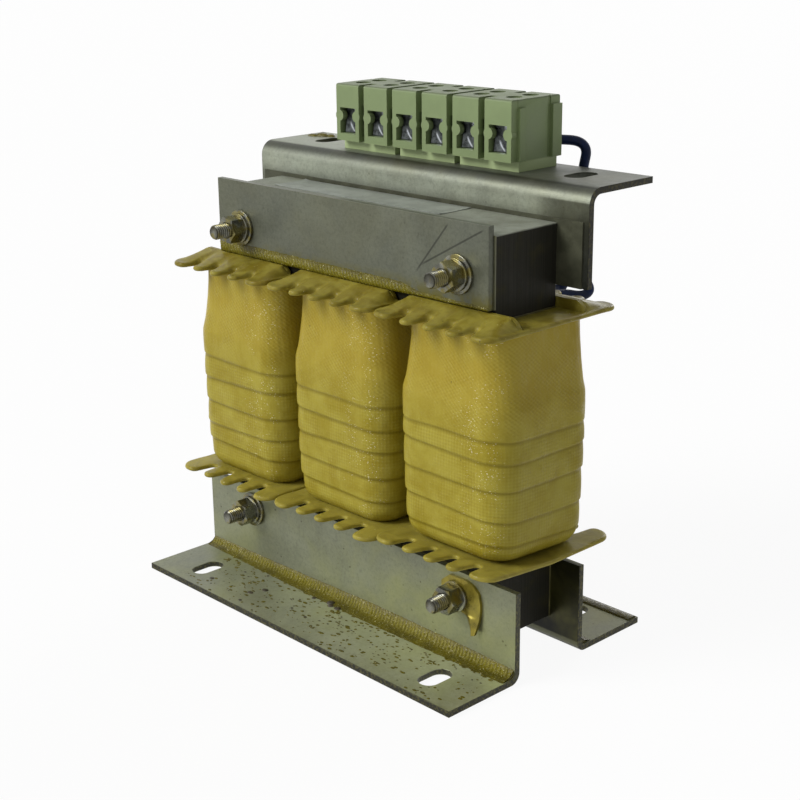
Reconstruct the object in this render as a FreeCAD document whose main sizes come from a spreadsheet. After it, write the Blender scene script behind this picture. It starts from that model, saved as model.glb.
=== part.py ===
import FreeCAD, Part
import math
import os
import Sketcher

# Three-phase load reactor: a laminated core with three taped coils, two foot
# angles, a clamp bar, a rear bracket that carries a six-pole terminal block.
# Frame: X runs along the core, Y points to the rear, Z is up and the feet
# stand on Z = 0 with the core centred on the origin. All sizes are in mm.

SIZES = {
    # Laminated core
    "limb_width": 25.0,
    "window_width": 25.0,
    "window_height": 75.0,
    "yoke_height": 25.0,
    "stack_depth": 26.0,
    "air_gap": 1.0,
    "core_base": 9.0,
    "core_bore": 7.0,
    # Insulation and sheet metal
    "insulation": 0.5,
    "insulation_rise": 1.2,
    "insulation_overhang": 9.5,
    "sheet": 2.0,
    "bracket_length": 148.0,
    "foot_web_height": 29.5,
    "foot_reach": 28.5,
    "foot_bend": 1.5,
    "slot_width": 7.0,
    "slot_length": 12.0,
    "slot_spacing_x": 113.0,
    "slot_spacing_y": 64.0,
    "clamp_bar_length": 124.0,
    "clamp_bar_height": 24.5,
    "clamp_bar_lift": 3.5,
    "shelf_web_lift": 6.5,
    "shelf_rise": 11.0,
    "shelf_reach": 29.0,
    "shelf_bend": 3.0,
    "shelf_slot_y": 30.5,
    # Clamp bolts and what sits on them
    "bolt_diameter": 5.0,
    "bolt_length": 44.0,
    "bolt_head_height": 3.5,
    "bolt_hex": 8.0,
    "nut_height": 4.7,
    "washer_bore": 5.3,
    "washer_diameter": 10.0,
    "washer_thickness": 1.0,
    "wide_washer_diameter": 12.0,
    "seat_thickness": 1.0,
    "hex_chamfer": 0.5,
    "point_chamfer": 0.5,
    "sleeve_clearance": 0.2,
    "sleeve_wall": 0.7,
    # Bobbins
    "limb_clearance": 0.3,
    "bobbin_wall": 1.2,
    "flange_thickness": 1.4,
    "flange_clearance": 0.3,
    "flange_width": 49.0,
    "flange_depth": 59.0,
    "flange_corner": 7.0,
    "comb_pitch": 9.3,
    "comb_slot": 3.6,
    "comb_root": 20.6,
    "comb_tip_radius": 2.7,
    "rim_length": 46.0,
    "rim_thickness": 2.0,
    "rim_height": 3.2,
    "rim_corner": 2.9,
    "web_reach": 9.0,
    "web_rise": 2.4,
    # Coils
    "winding_gap": 0.1,
    "winding_half_x": 19.0,
    "winding_half_y": 17.7,
    "winding_corner": 6.5,
    "coil_end_gap": 0.3,
    "coil_half_x": 22.7,
    "coil_half_y": 21.4,
    "coil_corner": 9.0,
    "coil_neck": 2.4,
    "coil_taper": 1.3,
    "coil_foot": 1.6,
    "first_lap": 8.6,
    "tape_pitch": 7.7,
    "tape_step": 0.35,
    "tape_edge": 0.2,
    # Terminal block
    "pole_pitch": 13.5,
    "pole_width": 10.9,
    "pole_groove_depth": 6.0,
    "block_shift": 0.5,
    "block_front": 18.0,
    "block_depth": 22.0,
    "block_height": 18.7,
    "module_gap": 0.3,
    "plinth_height": 3.2,
    "plinth_width": 24.6,
    "plinth_setback": 3.5,
    "block_edge": 0.8,
    "entry_width": 7.4,
    "entry_height": 8.5,
    "entry_floor": 2.4,
    "entry_lip": 2.0,
    "entry_bump": 1.5,
    "entry_bump_radius": 1.8,
    "entry_bump_height": 5.8,
    "chamber_depth": 8.2,
    "chamber_height": 11.4,
    "well_diameter": 5.2,
    "screw_head_diameter": 4.7,
    "screw_head_height": 2.0,
    "screw_diameter": 3.5,
    "screw_slot": 0.8,
    "screw_travel": 0.6,
    "cage_width": 6.8,
    "cage_depth": 4.6,
    "cage_wall": 0.9,
    "cage_setback": 5.0,
    "bar_width": 4.6,
    "bar_thickness": 1.5,
    "bar_clearance": 0.2,
    "peg_diameter": 4.0,
    "peg_rise": 0.8,
    "peg_clearance": 0.2,
    "rib_width": 2.8,
    "rib_height": 1.0,
    "rib_drop": 2.6,
    # Leads
    "lead_diameter": 3.1,
}

POLES_PER_MODULE = 2
MODULES = ("left", "middle", "right")
COILS = ("left", "middle", "right")
COMB_SLOTS_PER_SIDE = 2
TAPE_LAPS = 5

# Routes of the six coil leads by hand: out of a terminal's rear entry, over
# the shelf's rear edge, down behind the bracket and in under the top flange
# to the coil. Each entry is (side run X, loop X, coil X) in millimetres.
LEAD_RUNS = (
    (-43.0, -50.0, -43.5),
    (-29.5, -37.0, -39.0),
    (-13.5, -7.5, -6.0),
    (13.0, 6.5, 5.0),
    (29.5, 36.5, 39.0),
    (45.2, 50.8, 43.5),
)

doc = FreeCAD.newDocument("load_reactor")
sheet = doc.addObject("Spreadsheet::Sheet", "sizes")
for row, (alias, number) in enumerate(SIZES.items(), start=1):
    sheet.set("A%d" % row, alias)
    sheet.set("B%d" % row, str(number))
    sheet.setAlias("B%d" % row, alias)
doc.recompute()


class Size:
    """A length that knows both its number and its formula in the sheet."""

    def __init__(self, number, formula=None):
        self.number = float(number)
        self.formula = formula or "(%r)" % self.number

    def joined(self, other, sign, number):
        return Size(number, "(%s %s %s)" % (self.formula, sign, as_size(other).formula))

    def __add__(self, other):
        return self.joined(other, "+", self.number + as_size(other).number)

    def __sub__(self, other):
        return self.joined(other, "-", self.number - as_size(other).number)

    def __mul__(self, other):
        return self.joined(other, "*", self.number * as_size(other).number)

    def __truediv__(self, other):
        return self.joined(other, "/", self.number / as_size(other).number)

    def __radd__(self, other):
        return as_size(other) + self

    def __rsub__(self, other):
        return as_size(other) - self

    def __rmul__(self, other):
        return as_size(other) * self

    def __neg__(self):
        return Size(-self.number, "(0 - %s)" % self.formula)


def as_size(value):
    return value if isinstance(value, Size) else Size(value)


def size(alias):
    return Size(sheet.get(alias), "sizes.%s" % alias)


def bind(feature, prop, value):
    """Ties one property of a feature to the sheet."""
    feature.setExpression(prop, as_size(value).formula)


# Places that several pieces share
half_stack = size("stack_depth") / 2
limb_pitch = size("limb_width") + size("window_width")
core_length = limb_pitch * 2 + size("limb_width")
window_floor = size("core_base") + size("yoke_height")
limb_top = window_floor + size("window_height")
yoke_base = limb_top + size("air_gap")
core_top = yoke_base + size("yoke_height")
web_face = half_stack + size("insulation")
web_back = web_face + size("sheet")
lower_bolt_z = size("core_base") + size("yoke_height") / 2
upper_bolt_z = yoke_base + size("yoke_height") / 2
clamp_bar_base = yoke_base + size("clamp_bar_lift")
shelf_base = yoke_base + size("shelf_web_lift")
shelf_top = core_top + size("shelf_rise")
foot_edge = web_back + size("foot_reach")
limb_half = size("limb_width") / 2 + size("limb_clearance")
tube_half_x = limb_half + size("bobbin_wall")
tube_half_y = half_stack + size("limb_clearance") + size("bobbin_wall")
flange_floor = window_floor + size("flange_clearance")
flange_roof = yoke_base - size("flange_clearance")
coil_floor = flange_floor + size("flange_thickness") + size("coil_end_gap")
coil_roof = flange_roof - size("flange_thickness") - size("coil_end_gap")
block_back = size("block_front") + size("block_depth")
block_floor = shelf_top + size("plinth_height")
block_top = block_floor + size("block_height")
entry_base = block_floor + size("entry_floor")
entry_top = entry_base + size("entry_height")
cavity_top = entry_base + size("chamber_height")


def body(label, x=None):
    """A new body with its own label, shifted along X where that is given."""
    new = doc.addObject("PartDesign::Body", label)
    new.Label = label
    if x is not None:
        bind(new, "Placement.Base.x", x)
    return new


def origin_feature(owner, role):
    return [f for f in owner.Origin.OriginFeatures if f.Role == role][0]


def sketch(owner, name, role, offset=None):
    """A sketch on one of the body's origin planes, lifted off it by offset."""
    new = owner.newObject("Sketcher::SketchObject", name)
    new.AttachmentSupport = (origin_feature(owner, role), [""])
    new.MapMode = "FlatFace"
    if offset is not None:
        bind(new, "AttachmentOffset.Base.z", offset)
    return new


def pin(target, index, point, across, up):
    """Fixes one point of a curve at a place from the sketch's origin."""
    for kind, value in (("DistanceX", across), ("DistanceY", up)):
        value = as_size(value)
        row = target.addConstraint(Sketcher.Constraint(kind, -1, 1, index, point, value.number))
        target.setExpression("Constraints[%d]" % row, value.formula)


def give(target, kind, index, value):
    """Sets a radius or diameter from the sheet."""
    value = as_size(value)
    row = target.addConstraint(Sketcher.Constraint(kind, index, value.number))
    target.setExpression("Constraints[%d]" % row, value.formula)


def circle(target, across, up, diameter):
    across, up, diameter = as_size(across), as_size(up), as_size(diameter)
    centre = FreeCAD.Vector(across.number, up.number, 0)
    normal = FreeCAD.Vector(0, 0, 1)
    index = target.addGeometry(Part.Circle(centre, normal, diameter.number / 2), False)
    pin(target, index, 3, across, up)
    give(target, "Diameter", index, diameter)


def polygon(target, corners):
    """A closed outline of straight sides through the given corners."""
    corners = [(as_size(a), as_size(b)) for a, b in corners]
    spots = [FreeCAD.Vector(a.number, b.number, 0) for a, b in corners]
    count = len(spots)
    first = target.GeometryCount
    for i in range(count):
        target.addGeometry(Part.LineSegment(spots[i], spots[(i + 1) % count]), False)
    for i in range(count):
        target.addConstraint(
            Sketcher.Constraint("Coincident", first + i, 2, first + (i + 1) % count, 1))
        pin(target, first + i, 1, *corners[i])


def box_corners(left, bottom, right, top):
    return [(left, bottom), (right, bottom), (right, top), (left, top)]


def rounded_box(target, half_width, half_height, radius):
    """A rectangle about the sketch's origin with four round corners.

    Four sides, each held at its distance, and four arcs tangent to them.
    """
    half_width, half_height, radius = map(as_size, (half_width, half_height, radius))
    w, v, r = half_width.number, half_height.number, radius.number
    ends = (
        ((-w + r, -v), (w - r, -v)),
        ((w, -v + r), (w, v - r)),
        ((w - r, v), (-w + r, v)),
        ((-w, v - r), (-w, -v + r)),
    )
    middles = ((w - r, -v + r), (w - r, v - r), (-w + r, v - r), (-w + r, -v + r))
    first = target.GeometryCount
    for i in range(4):
        start, end = (FreeCAD.Vector(x, y, 0) for x, y in ends[i])
        target.addGeometry(Part.LineSegment(start, end), False)
        base = Part.Circle(FreeCAD.Vector(*middles[i], 0), FreeCAD.Vector(0, 0, 1), r)
        turn = math.pi / 2 * (i - 1)
        target.addGeometry(Part.ArcOfCircle(base, turn, turn + math.pi / 2), False)
    for i in range(4):
        side, arc, following = first + 2 * i, first + 2 * i + 1, first + (2 * i + 2) % 8
        target.addConstraint(Sketcher.Constraint("Tangent", side, 2, arc, 1))
        target.addConstraint(Sketcher.Constraint("Tangent", arc, 2, following, 1))
        give(target, "Radius", arc, radius)
        target.addConstraint(Sketcher.Constraint(("Horizontal", "Vertical")[i % 2], side))
        place = (-half_height, half_width, half_height, -half_width)[i]
        kind = ("DistanceY", "DistanceX")[i % 2]
        row = target.addConstraint(Sketcher.Constraint(kind, -1, 1, side, 1, place.number))
        target.setExpression("Constraints[%d]" % row, place.formula)


def slot(target, across, up, width, length):
    """A round-ended slot along the sketch's second axis."""
    across, up, width, length = map(as_size, (across, up, width, length))
    reach = (length - width) / 2
    r = width.number / 2
    first = target.GeometryCount
    normal = FreeCAD.Vector(0, 0, 1)
    low = FreeCAD.Vector(across.number, up.number - reach.number, 0)
    high = FreeCAD.Vector(across.number, up.number + reach.number, 0)
    side = FreeCAD.Vector(r, 0, 0)
    target.addGeometry(Part.ArcOfCircle(Part.Circle(high, normal, r), 0, math.pi), False)
    target.addGeometry(Part.LineSegment(high - side, low - side), False)
    target.addGeometry(Part.ArcOfCircle(Part.Circle(low, normal, r), math.pi, 2 * math.pi), False)
    target.addGeometry(Part.LineSegment(low + side, high + side), False)
    for i in range(4):
        target.addConstraint(
            Sketcher.Constraint("Tangent", first + i, 2, first + (i + 1) % 4, 1))
    target.addConstraint(Sketcher.Constraint("Equal", first, first + 2))
    give(target, "Radius", first, width / 2)
    pin(target, first, 3, across, up + reach)
    pin(target, first + 2, 3, across, up - reach)


def pad(owner, name, profile, length, symmetric=False, reverse=False):
    new = owner.newObject("PartDesign::Pad", name)
    new.Profile = profile
    bind(new, "Length", length)
    if symmetric:
        new.SideType = "Symmetric"
    new.Reversed = reverse
    profile.Visibility = False
    doc.recompute()
    return new


def pocket(owner, name, profile, length=None, reverse=False):
    """Cuts a profile out of the body, both ways right through without a length."""
    before = owner.Shape.Volume
    new = owner.newObject("PartDesign::Pocket", name)
    new.Profile = profile
    if length is None:
        new.SideType = "Symmetric"
        new.Type = "Length"
        new.Length = 500
    else:
        bind(new, "Length", length)
    new.Reversed = reverse
    doc.recompute()
    if not new.Shape.Volume < before - 1e-6:
        raise RuntimeError("%s cuts nothing" % name)
    return new


def mirror(owner, name, originals, role):
    new = owner.newObject("PartDesign::Mirrored", name)
    new.Originals = originals
    new.MirrorPlane = (origin_feature(owner, role), [""])
    owner.Tip = new
    doc.recompute()
    return new


def edges_where(shape, test):
    """Names of the edges whose middle point passes the test."""
    found = []
    for i, edge in enumerate(shape.Edges, start=1):
        middle = edge.valueAt((edge.FirstParameter + edge.LastParameter) / 2)
        if test(edge, middle):
            found.append("Edge%d" % i)
    return found


def near(a, b):
    return abs(a - as_size(b).number) < 1e-4


def fillet(owner, name, radius, test):
    base = owner.Tip
    new = owner.newObject("PartDesign::Fillet", name)
    new.Base = (base, edges_where(base.Shape, test))
    bind(new, "Radius", radius)
    doc.recompute()
    return new


def along(edge, axis):
    """True for a straight edge that runs along the named axis."""
    if edge.Curve.TypeId != "Part::GeomLine":
        return False
    return abs(getattr(edge.Curve.Direction, axis)) > 0.999


# Core: an E-shaped stack of a yoke and three limbs, and a plain yoke on top

def bolt_bores(owner, height, diameter):
    """Bores for the two clamp bolts of one yoke."""
    bores = sketch(owner, owner.Label + "_bores", "XZ_Plane")
    for side in (-1, 1):
        circle(bores, limb_pitch * side, height, diameter)
    return pocket(owner, owner.Label + "_bored", bores)


def core_stack():
    owner = body("core_e_stack")
    outline = sketch(owner, "core_outline", "XZ_Plane")
    half = core_length / 2
    inner = size("limb_width") / 2
    outer = inner + size("window_width")
    polygon(outline, [
        (-half, size("core_base")), (half, size("core_base")), (half, limb_top),
        (outer, limb_top), (outer, window_floor), (inner, window_floor),
        (inner, limb_top), (-inner, limb_top), (-inner, window_floor),
        (-outer, window_floor), (-outer, limb_top), (-half, limb_top)])
    pad(owner, "core_pad", outline, size("stack_depth"), symmetric=True)
    bolt_bores(owner, lower_bolt_z, size("core_bore"))
    return owner


def top_yoke():
    owner = body("core_top_yoke")
    outline = sketch(owner, "yoke_outline", "XZ_Plane")
    polygon(outline, box_corners(-core_length / 2, yoke_base, core_length / 2, core_top))
    pad(owner, "yoke_pad", outline, size("stack_depth"), symmetric=True)
    bolt_bores(owner, upper_bolt_z, size("core_bore"))
    return owner


def gap_spacer(name, x):
    owner = body("gap_spacer_" + name, x)
    outline = sketch(owner, "spacer_outline_" + name, "XY_Plane", limb_top)
    half = size("limb_width") / 2
    polygon(outline, box_corners(-half, -half_stack, half, half_stack))
    pad(owner, "spacer_pad_" + name, outline, size("air_gap"))
    return owner


# Sheet metal that clamps the core and carries it

def angle_profile(owner, name, sign, corners):
    """An L-shaped section drawn in the plane across the core."""
    outline = sketch(owner, name, "YZ_Plane")
    polygon(outline, [(across * sign, up) for across, up in corners])
    return outline


def foot_angle(label, sign):
    """A foot: its web stands against the core, its flange lies on the ground.

    The flange points away from the core and has two slots across its width.
    """
    owner = body(label)
    outline = angle_profile(owner, label + "_section", sign, [
        (web_face, 0), (foot_edge, 0), (foot_edge, size("sheet")),
        (web_back, size("sheet")), (web_back, size("foot_web_height")),
        (web_face, size("foot_web_height"))])
    pad(owner, label + "_pad", outline, size("bracket_length"), symmetric=True)
    inner_y, inner_z = web_back.number * sign, size("sheet").number
    outer_y = web_face.number * sign
    fillet(owner, label + "_inner_bend", size("foot_bend"),
           lambda e, p: along(e, "x") and near(p.y, inner_y) and near(p.z, inner_z))
    fillet(owner, label + "_outer_bend", size("foot_bend") + size("sheet"),
           lambda e, p: along(e, "x") and near(p.y, outer_y) and near(p.z, 0))
    bolt_bores(owner, lower_bolt_z, size("washer_bore"))
    slots = sketch(owner, label + "_slots", "XY_Plane")
    for side in (-1, 1):
        slot(slots, size("slot_spacing_x") / 2 * side, size("slot_spacing_y") / 2 * sign,
             size("slot_width"), size("slot_length"))
    pocket(owner, label + "_slotted", slots)
    return owner


def clamp_bar():
    """Flat bar across the front of the top yoke."""
    owner = body("front_clamp_bar")
    outline = sketch(owner, "clamp_bar_outline", "XZ_Plane", web_face)
    half = size("clamp_bar_length") / 2
    polygon(outline, box_corners(
        -half, clamp_bar_base, half, clamp_bar_base + size("clamp_bar_height")))
    pad(owner, "clamp_bar_pad", outline, size("sheet"))
    bolt_bores(owner, upper_bolt_z, size("washer_bore"))
    return owner


def terminal_bracket():
    """Rear bracket of the top yoke, bent back to a shelf for the terminals."""
    label = "rear_terminal_bracket"
    owner = body(label)
    edge = web_face + size("shelf_reach")
    outline = angle_profile(owner, label + "_section", 1, [
        (web_face, shelf_base), (web_back, shelf_base), (web_back, shelf_top - size("sheet")),
        (edge, shelf_top - size("sheet")), (edge, shelf_top), (web_face, shelf_top)])
    pad(owner, label + "_pad", outline, size("bracket_length"), symmetric=True)
    fillet(owner, label + "_inner_bend", size("shelf_bend"),
           lambda e, p: (along(e, "x") and near(p.y, web_back)
                         and near(p.z, shelf_top - size("sheet"))))
    fillet(owner, label + "_outer_bend", size("shelf_bend") + size("sheet"),
           lambda e, p: along(e, "x") and near(p.y, web_face) and near(p.z, shelf_top))
    bolt_bores(owner, upper_bolt_z, size("washer_bore"))
    holes = sketch(owner, label + "_holes", "XY_Plane", shelf_top)
    for side in (-1, 1):
        slot(holes, size("slot_spacing_x") / 2 * side, size("shelf_slot_y"),
             size("slot_width"), size("slot_length"))
    for x in all_poles():
        circle(holes, x, peg_y(), size("peg_diameter") + size("peg_clearance") * 2)
    pocket(owner, label + "_holed", holes, size("sheet") * 2)
    return owner


def insulation_strip(label, sign, low, high, half_length, height):
    """Thin board between the stack and the metal, bored for the bolts."""
    owner = body(label)
    outline = sketch(owner, label + "_outline", "XZ_Plane", -half_stack * sign)
    polygon(outline, box_corners(-half_length, low, half_length, high))
    pad(owner, label + "_pad", outline, size("insulation"), reverse=(sign > 0))
    bolt_bores(owner, height, size("core_bore"))
    return owner


# Clamp hardware at the four corners of the core, equal pieces as one group

CORNERS = [(side, height) for height in (lower_bolt_z, upper_bolt_z) for side in (-1, 1)]
LOWER_RIGHT = 1


def group(label):
    """A body that holds several separate solids."""
    owner = body(label)
    owner.AllowCompound = True
    return owner


def rings(label, ahead, thickness, outer, inner, corners, rearward=False):
    """Rings round the bolts, from a plane that lies ahead of the core's middle."""
    owner = group(label)
    outline = sketch(owner, label + "_outline", "XZ_Plane", ahead)
    for side, height in corners:
        circle(outline, limb_pitch * side, height, outer)
        circle(outline, limb_pitch * side, height, inner)
    pad(owner, label + "_pad", outline, thickness, reverse=rearward)
    return owner


def hexagon(target, across_flats, x, z):
    """Six sides about a point, with two flats upright."""
    reach = across_flats / math.sqrt(3)
    turns = [math.radians(30 + 60 * i) for i in range(6)]
    polygon(target, [(x + reach * math.cos(t), z + reach * math.sin(t)) for t in turns])


def crown(owner, name, amount, test):
    """Breaks the corners of a hexagon's outer face."""
    base = owner.Tip
    new = owner.newObject("PartDesign::Chamfer", name)
    new.Base = (base, edges_where(base.Shape, test))
    bind(new, "Size", amount)
    doc.recompute()
    return new


def nuts():
    owner = group("clamp_nuts")
    seat = web_back + size("seat_thickness") + size("washer_thickness")
    outline = sketch(owner, "nut_outline", "XZ_Plane", seat)
    for side, height in CORNERS:
        hexagon(outline, size("bolt_hex"), limb_pitch * side, height)
        circle(outline, limb_pitch * side, height, size("bolt_diameter"))
    pad(owner, "nut_pad", outline, size("nut_height"))
    face = (seat + size("nut_height")).number
    crown(owner, "nut_crown", size("hex_chamfer"),
          lambda e, p: near(p.y, -face) and e.Curve.TypeId == "Part::GeomLine")
    return owner


def bolts():
    """Hexagon-headed bolts put in from the rear."""
    owner = group("clamp_bolts")
    seat = web_back + size("washer_thickness")
    head = sketch(owner, "bolt_head_outline", "XZ_Plane", -seat)
    shank = sketch(owner, "bolt_shank_outline", "XZ_Plane", -seat)
    for side, height in CORNERS:
        hexagon(head, size("bolt_hex"), limb_pitch * side, height)
        circle(shank, limb_pitch * side, height, size("bolt_diameter"))
    pad(owner, "bolt_heads", head, size("bolt_head_height"), reverse=True)
    pad(owner, "bolt_shanks", shank, size("bolt_length"))
    tip = (size("bolt_length") - seat).number
    top = (seat + size("bolt_head_height")).number
    crown(owner, "bolt_points", size("point_chamfer"),
          lambda e, p: near(p.y, -tip) and e.Curve.TypeId == "Part::GeomCircle")
    crown(owner, "bolt_crown", size("hex_chamfer"),
          lambda e, p: near(p.y, top) and e.Curve.TypeId == "Part::GeomLine")
    return owner


def clamp_hardware():
    seat = size("seat_thickness")
    washer = size("washer_thickness")
    bore = size("washer_bore")
    without_tag = [c for i, c in enumerate(CORNERS) if i != LOWER_RIGHT]
    sleeve_inner = size("bolt_diameter") + size("sleeve_clearance")
    return [
        bolts(),
        nuts(),
        rings("wide_front_washers", web_back, seat, size("wide_washer_diameter"), bore,
              without_tag),
        rings("front_washers", web_back + seat, washer, size("washer_diameter"), bore, CORNERS),
        rings("rear_washers", -web_back, washer, size("washer_diameter"), bore, CORNERS,
              rearward=True),
        rings("bolt_sleeves", -half_stack, size("stack_depth"),
              sleeve_inner + size("sleeve_wall") * 2, sleeve_inner, CORNERS),
        earth_tag(),
    ]


def earth_tag():
    """Flat tag under the lower right nut, with a tapered blade that hangs down."""
    owner = body("earth_tag", limb_pitch)
    outline = sketch(owner, "tag_outline", "XZ_Plane", web_back)
    around = [
        (-6.0, -3.5), (-6.0, 3.6), (-2.4, 6.6), (3.6, 6.4), (9.4, 4.6), (10.6, -1.2),
        (10.2, -4.0), (9.3, -10.0), (7.7, -10.0), (6.2, -5.2), (3.0, -6.2), (-3.0, -6.2)]
    polygon(outline, [(x, lower_bolt_z + z) for x, z in around])
    circle(outline, 0, lower_bolt_z, size("washer_bore"))
    pad(owner, "tag_pad", outline, size("seat_thickness"))
    return owner


# Coils: a bobbin on each limb, its copper winding and the tape around it

def bobbin(name, x):
    """Square tube between two comb flanges, with low rims beside the yokes.

    The comb is cut as round-rooted slots in the front and rear edges of both
    flanges, which leaves five tongues with rounded tips on each edge. Above
    the upper flange each tongue rises in a slope to the rim.
    """
    owner = body("bobbin_" + name, x)
    depth = half_stack + size("limb_clearance")
    thickness = size("flange_thickness")
    bore = box_corners(-limb_half, -depth, limb_half, depth)
    tube = sketch(owner, "tube_" + name, "XY_Plane", flange_floor)
    polygon(tube, box_corners(-tube_half_x, -tube_half_y, tube_half_x, tube_half_y))
    polygon(tube, bore)
    pad(owner, "tube_pad_" + name, tube, flange_roof - flange_floor)
    for level, place in (("lower", flange_floor), ("upper", flange_roof - thickness)):
        flange = sketch(owner, "%s_flange_%s" % (level, name), "XY_Plane", place)
        rounded_box(flange, size("flange_width") / 2, size("flange_depth") / 2,
                    size("flange_corner"))
        polygon(flange, bore)
        pad(owner, "%s_flange_pad_%s" % (level, name), flange, thickness)
    rim_half = size("rim_length") / 2
    rim_face = depth + size("rim_thickness")
    rim = sketch(owner, "rims_" + name, "XZ_Plane", rim_face)
    for low, high in ((flange_floor - size("rim_height"), flange_floor),
                      (flange_roof, flange_roof + size("rim_height"))):
        polygon(rim, box_corners(-rim_half, low, rim_half, high))
    rim_pad = pad(owner, "rim_pad_" + name, rim, size("rim_thickness"), reverse=True)
    web = angle_profile(owner, "tongue_webs_" + name, -1, [
        (rim_face - 0.5, flange_roof - 0.5), (rim_face + size("web_reach"), flange_roof - 0.5),
        (rim_face + size("web_reach"), flange_roof), (rim_face, flange_roof + size("web_rise")),
        (rim_face - 0.5, flange_roof + size("web_rise"))])
    web_pad = pad(owner, "tongue_web_pad_" + name, web,
                  size("rim_length") - size("rim_corner") * 2, symmetric=True)
    comb = sketch(owner, "comb_" + name, "XY_Plane")
    cut_length = (size("flange_depth") / 2 - size("comb_root")) * 2
    for i in range(-COMB_SLOTS_PER_SIDE, COMB_SLOTS_PER_SIDE):
        slot(comb, size("comb_pitch") * (i + 0.5), -(size("comb_root") + cut_length / 2),
             size("comb_slot"), cut_length)
    comb_cut = pocket(owner, "comb_cut_" + name, comb)
    mirror(owner, "rear_side_" + name, [rim_pad, web_pad, comb_cut], "XZ_Plane")
    edge = (size("flange_depth") / 2).number
    fillet(owner, "tongue_tips_" + name, size("comb_tip_radius"),
           lambda e, p: along(e, "z") and near(abs(p.y), edge))
    ends = (flange_floor - size("rim_height")).number, (flange_roof + size("rim_height")).number
    fillet(owner, "rim_ends_" + name, size("rim_corner"),
           lambda e, p: (along(e, "y") and near(abs(p.x), rim_half)
                         and (near(p.z, ends[0]) or near(p.z, ends[1]))))
    return owner


def winding(name, x):
    """Copper turns as one closed block around the bobbin's tube."""
    owner = body("winding_" + name, x)
    gap = size("winding_gap")
    outline = sketch(owner, "winding_outline_" + name, "XY_Plane", coil_floor)
    rounded_box(outline, size("winding_half_x"), size("winding_half_y"), size("winding_corner"))
    half_x, half_y = tube_half_x + gap, tube_half_y + gap
    polygon(outline, box_corners(-half_x, -half_y, half_x, half_y))
    pad(owner, "winding_pad_" + name, outline, coil_roof - coil_floor)
    return owner


def tape_sections():
    """Heights of the tape's outline and how far it draws in there.

    The coil swells to its full size at three quarters of its height and
    narrows to a neck under the upper flange. The lower laps each stand proud
    at their lower edge and thin out to the edge of the next lap.
    """
    height = coil_roof - coil_floor
    waist = 0.74
    step = size("tape_step") / 2

    def draw_in(place):
        share = (place - coil_floor).number / height.number
        if share < waist:
            return size("coil_taper") * (1 - share / waist) ** 2
        return size("coil_neck") * ((share - waist) / (1 - waist)) ** 3

    sections = [(coil_floor, size("coil_neck")),
                (coil_floor + size("coil_foot"), draw_in(coil_floor + size("coil_foot")))]
    for lap in range(TAPE_LAPS):
        seam = coil_floor + size("first_lap") + size("tape_pitch") * lap
        sections.append((seam - size("tape_edge"), draw_in(seam) + step))
        sections.append((seam, draw_in(seam) - step))
    rest = coil_roof - seam
    for share in (0.28, 0.55, 0.76, 0.9):
        sections.append((seam + rest * share, draw_in(seam + rest * share)))
    sections.append((coil_roof, size("coil_neck")))
    return sections


def tape_wrap(name, x):
    """Resin-soaked tape around the winding, lofted through its outlines."""
    owner = body("tape_wrap_" + name, x)
    outlines = []
    for i, (place, inset) in enumerate(tape_sections()):
        outline = sketch(owner, "tape_outline_%s_%d" % (name, i), "XY_Plane", place)
        rounded_box(outline, size("coil_half_x") - inset, size("coil_half_y") - inset,
                    size("coil_corner") - inset / 2)
        outlines.append(outline)
    doc.recompute()
    loft = owner.newObject("PartDesign::AdditiveLoft", "tape_loft_" + name)
    loft.Profile = outlines[0]
    loft.Sections = outlines[1:]
    loft.Ruled = True
    doc.recompute()
    inside = sketch(owner, "tape_inside_" + name, "XY_Plane")
    rounded_box(inside, size("winding_half_x"), size("winding_half_y"), size("winding_corner"))
    pocket(owner, "tape_hollow_" + name, inside)
    return owner


# Terminal block: three modules of two poles each

def module_x(index):
    return size("block_shift") + size("pole_pitch") * (POLES_PER_MODULE * (index - 1))


def pole_offsets():
    """Centres of the poles of one module, from the module's middle."""
    return [size("pole_pitch") * (i - (POLES_PER_MODULE - 1) / 2) for i in range(POLES_PER_MODULE)]


def all_poles():
    return [module_x(m) + offset for m in range(len(MODULES)) for offset in pole_offsets()]


def peg_y():
    return size("block_front") + size("block_depth") / 2


def module_plan():
    """Plan outline of a module: pole fronts, grooves, and ribs on both ends."""
    front, back = size("block_front"), block_back
    pole = size("pole_width") / 2
    inner = size("pole_pitch") / 2 - pole
    outer = size("pole_pitch") / 2 + pole
    half = size("pole_pitch") - size("module_gap") / 2
    end = half - size("rib_height")
    groove = size("pole_groove_depth")
    rib = size("rib_width")
    right = [
        (inner, front + groove), (inner, front), (outer, front), (outer, front + rib),
        (half, front + rib), (half, front + rib * 2), (end, front + rib * 2),
        (end, back - rib * 2), (half - rib / 2, back - rib * 2), (half - rib / 2, back - rib * 1.5),
        (half, back - rib * 1.5), (half, back), (inner, back), (inner, back - groove)]
    left = [(-x, y) for x, y in reversed(right)]
    return right + left


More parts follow.
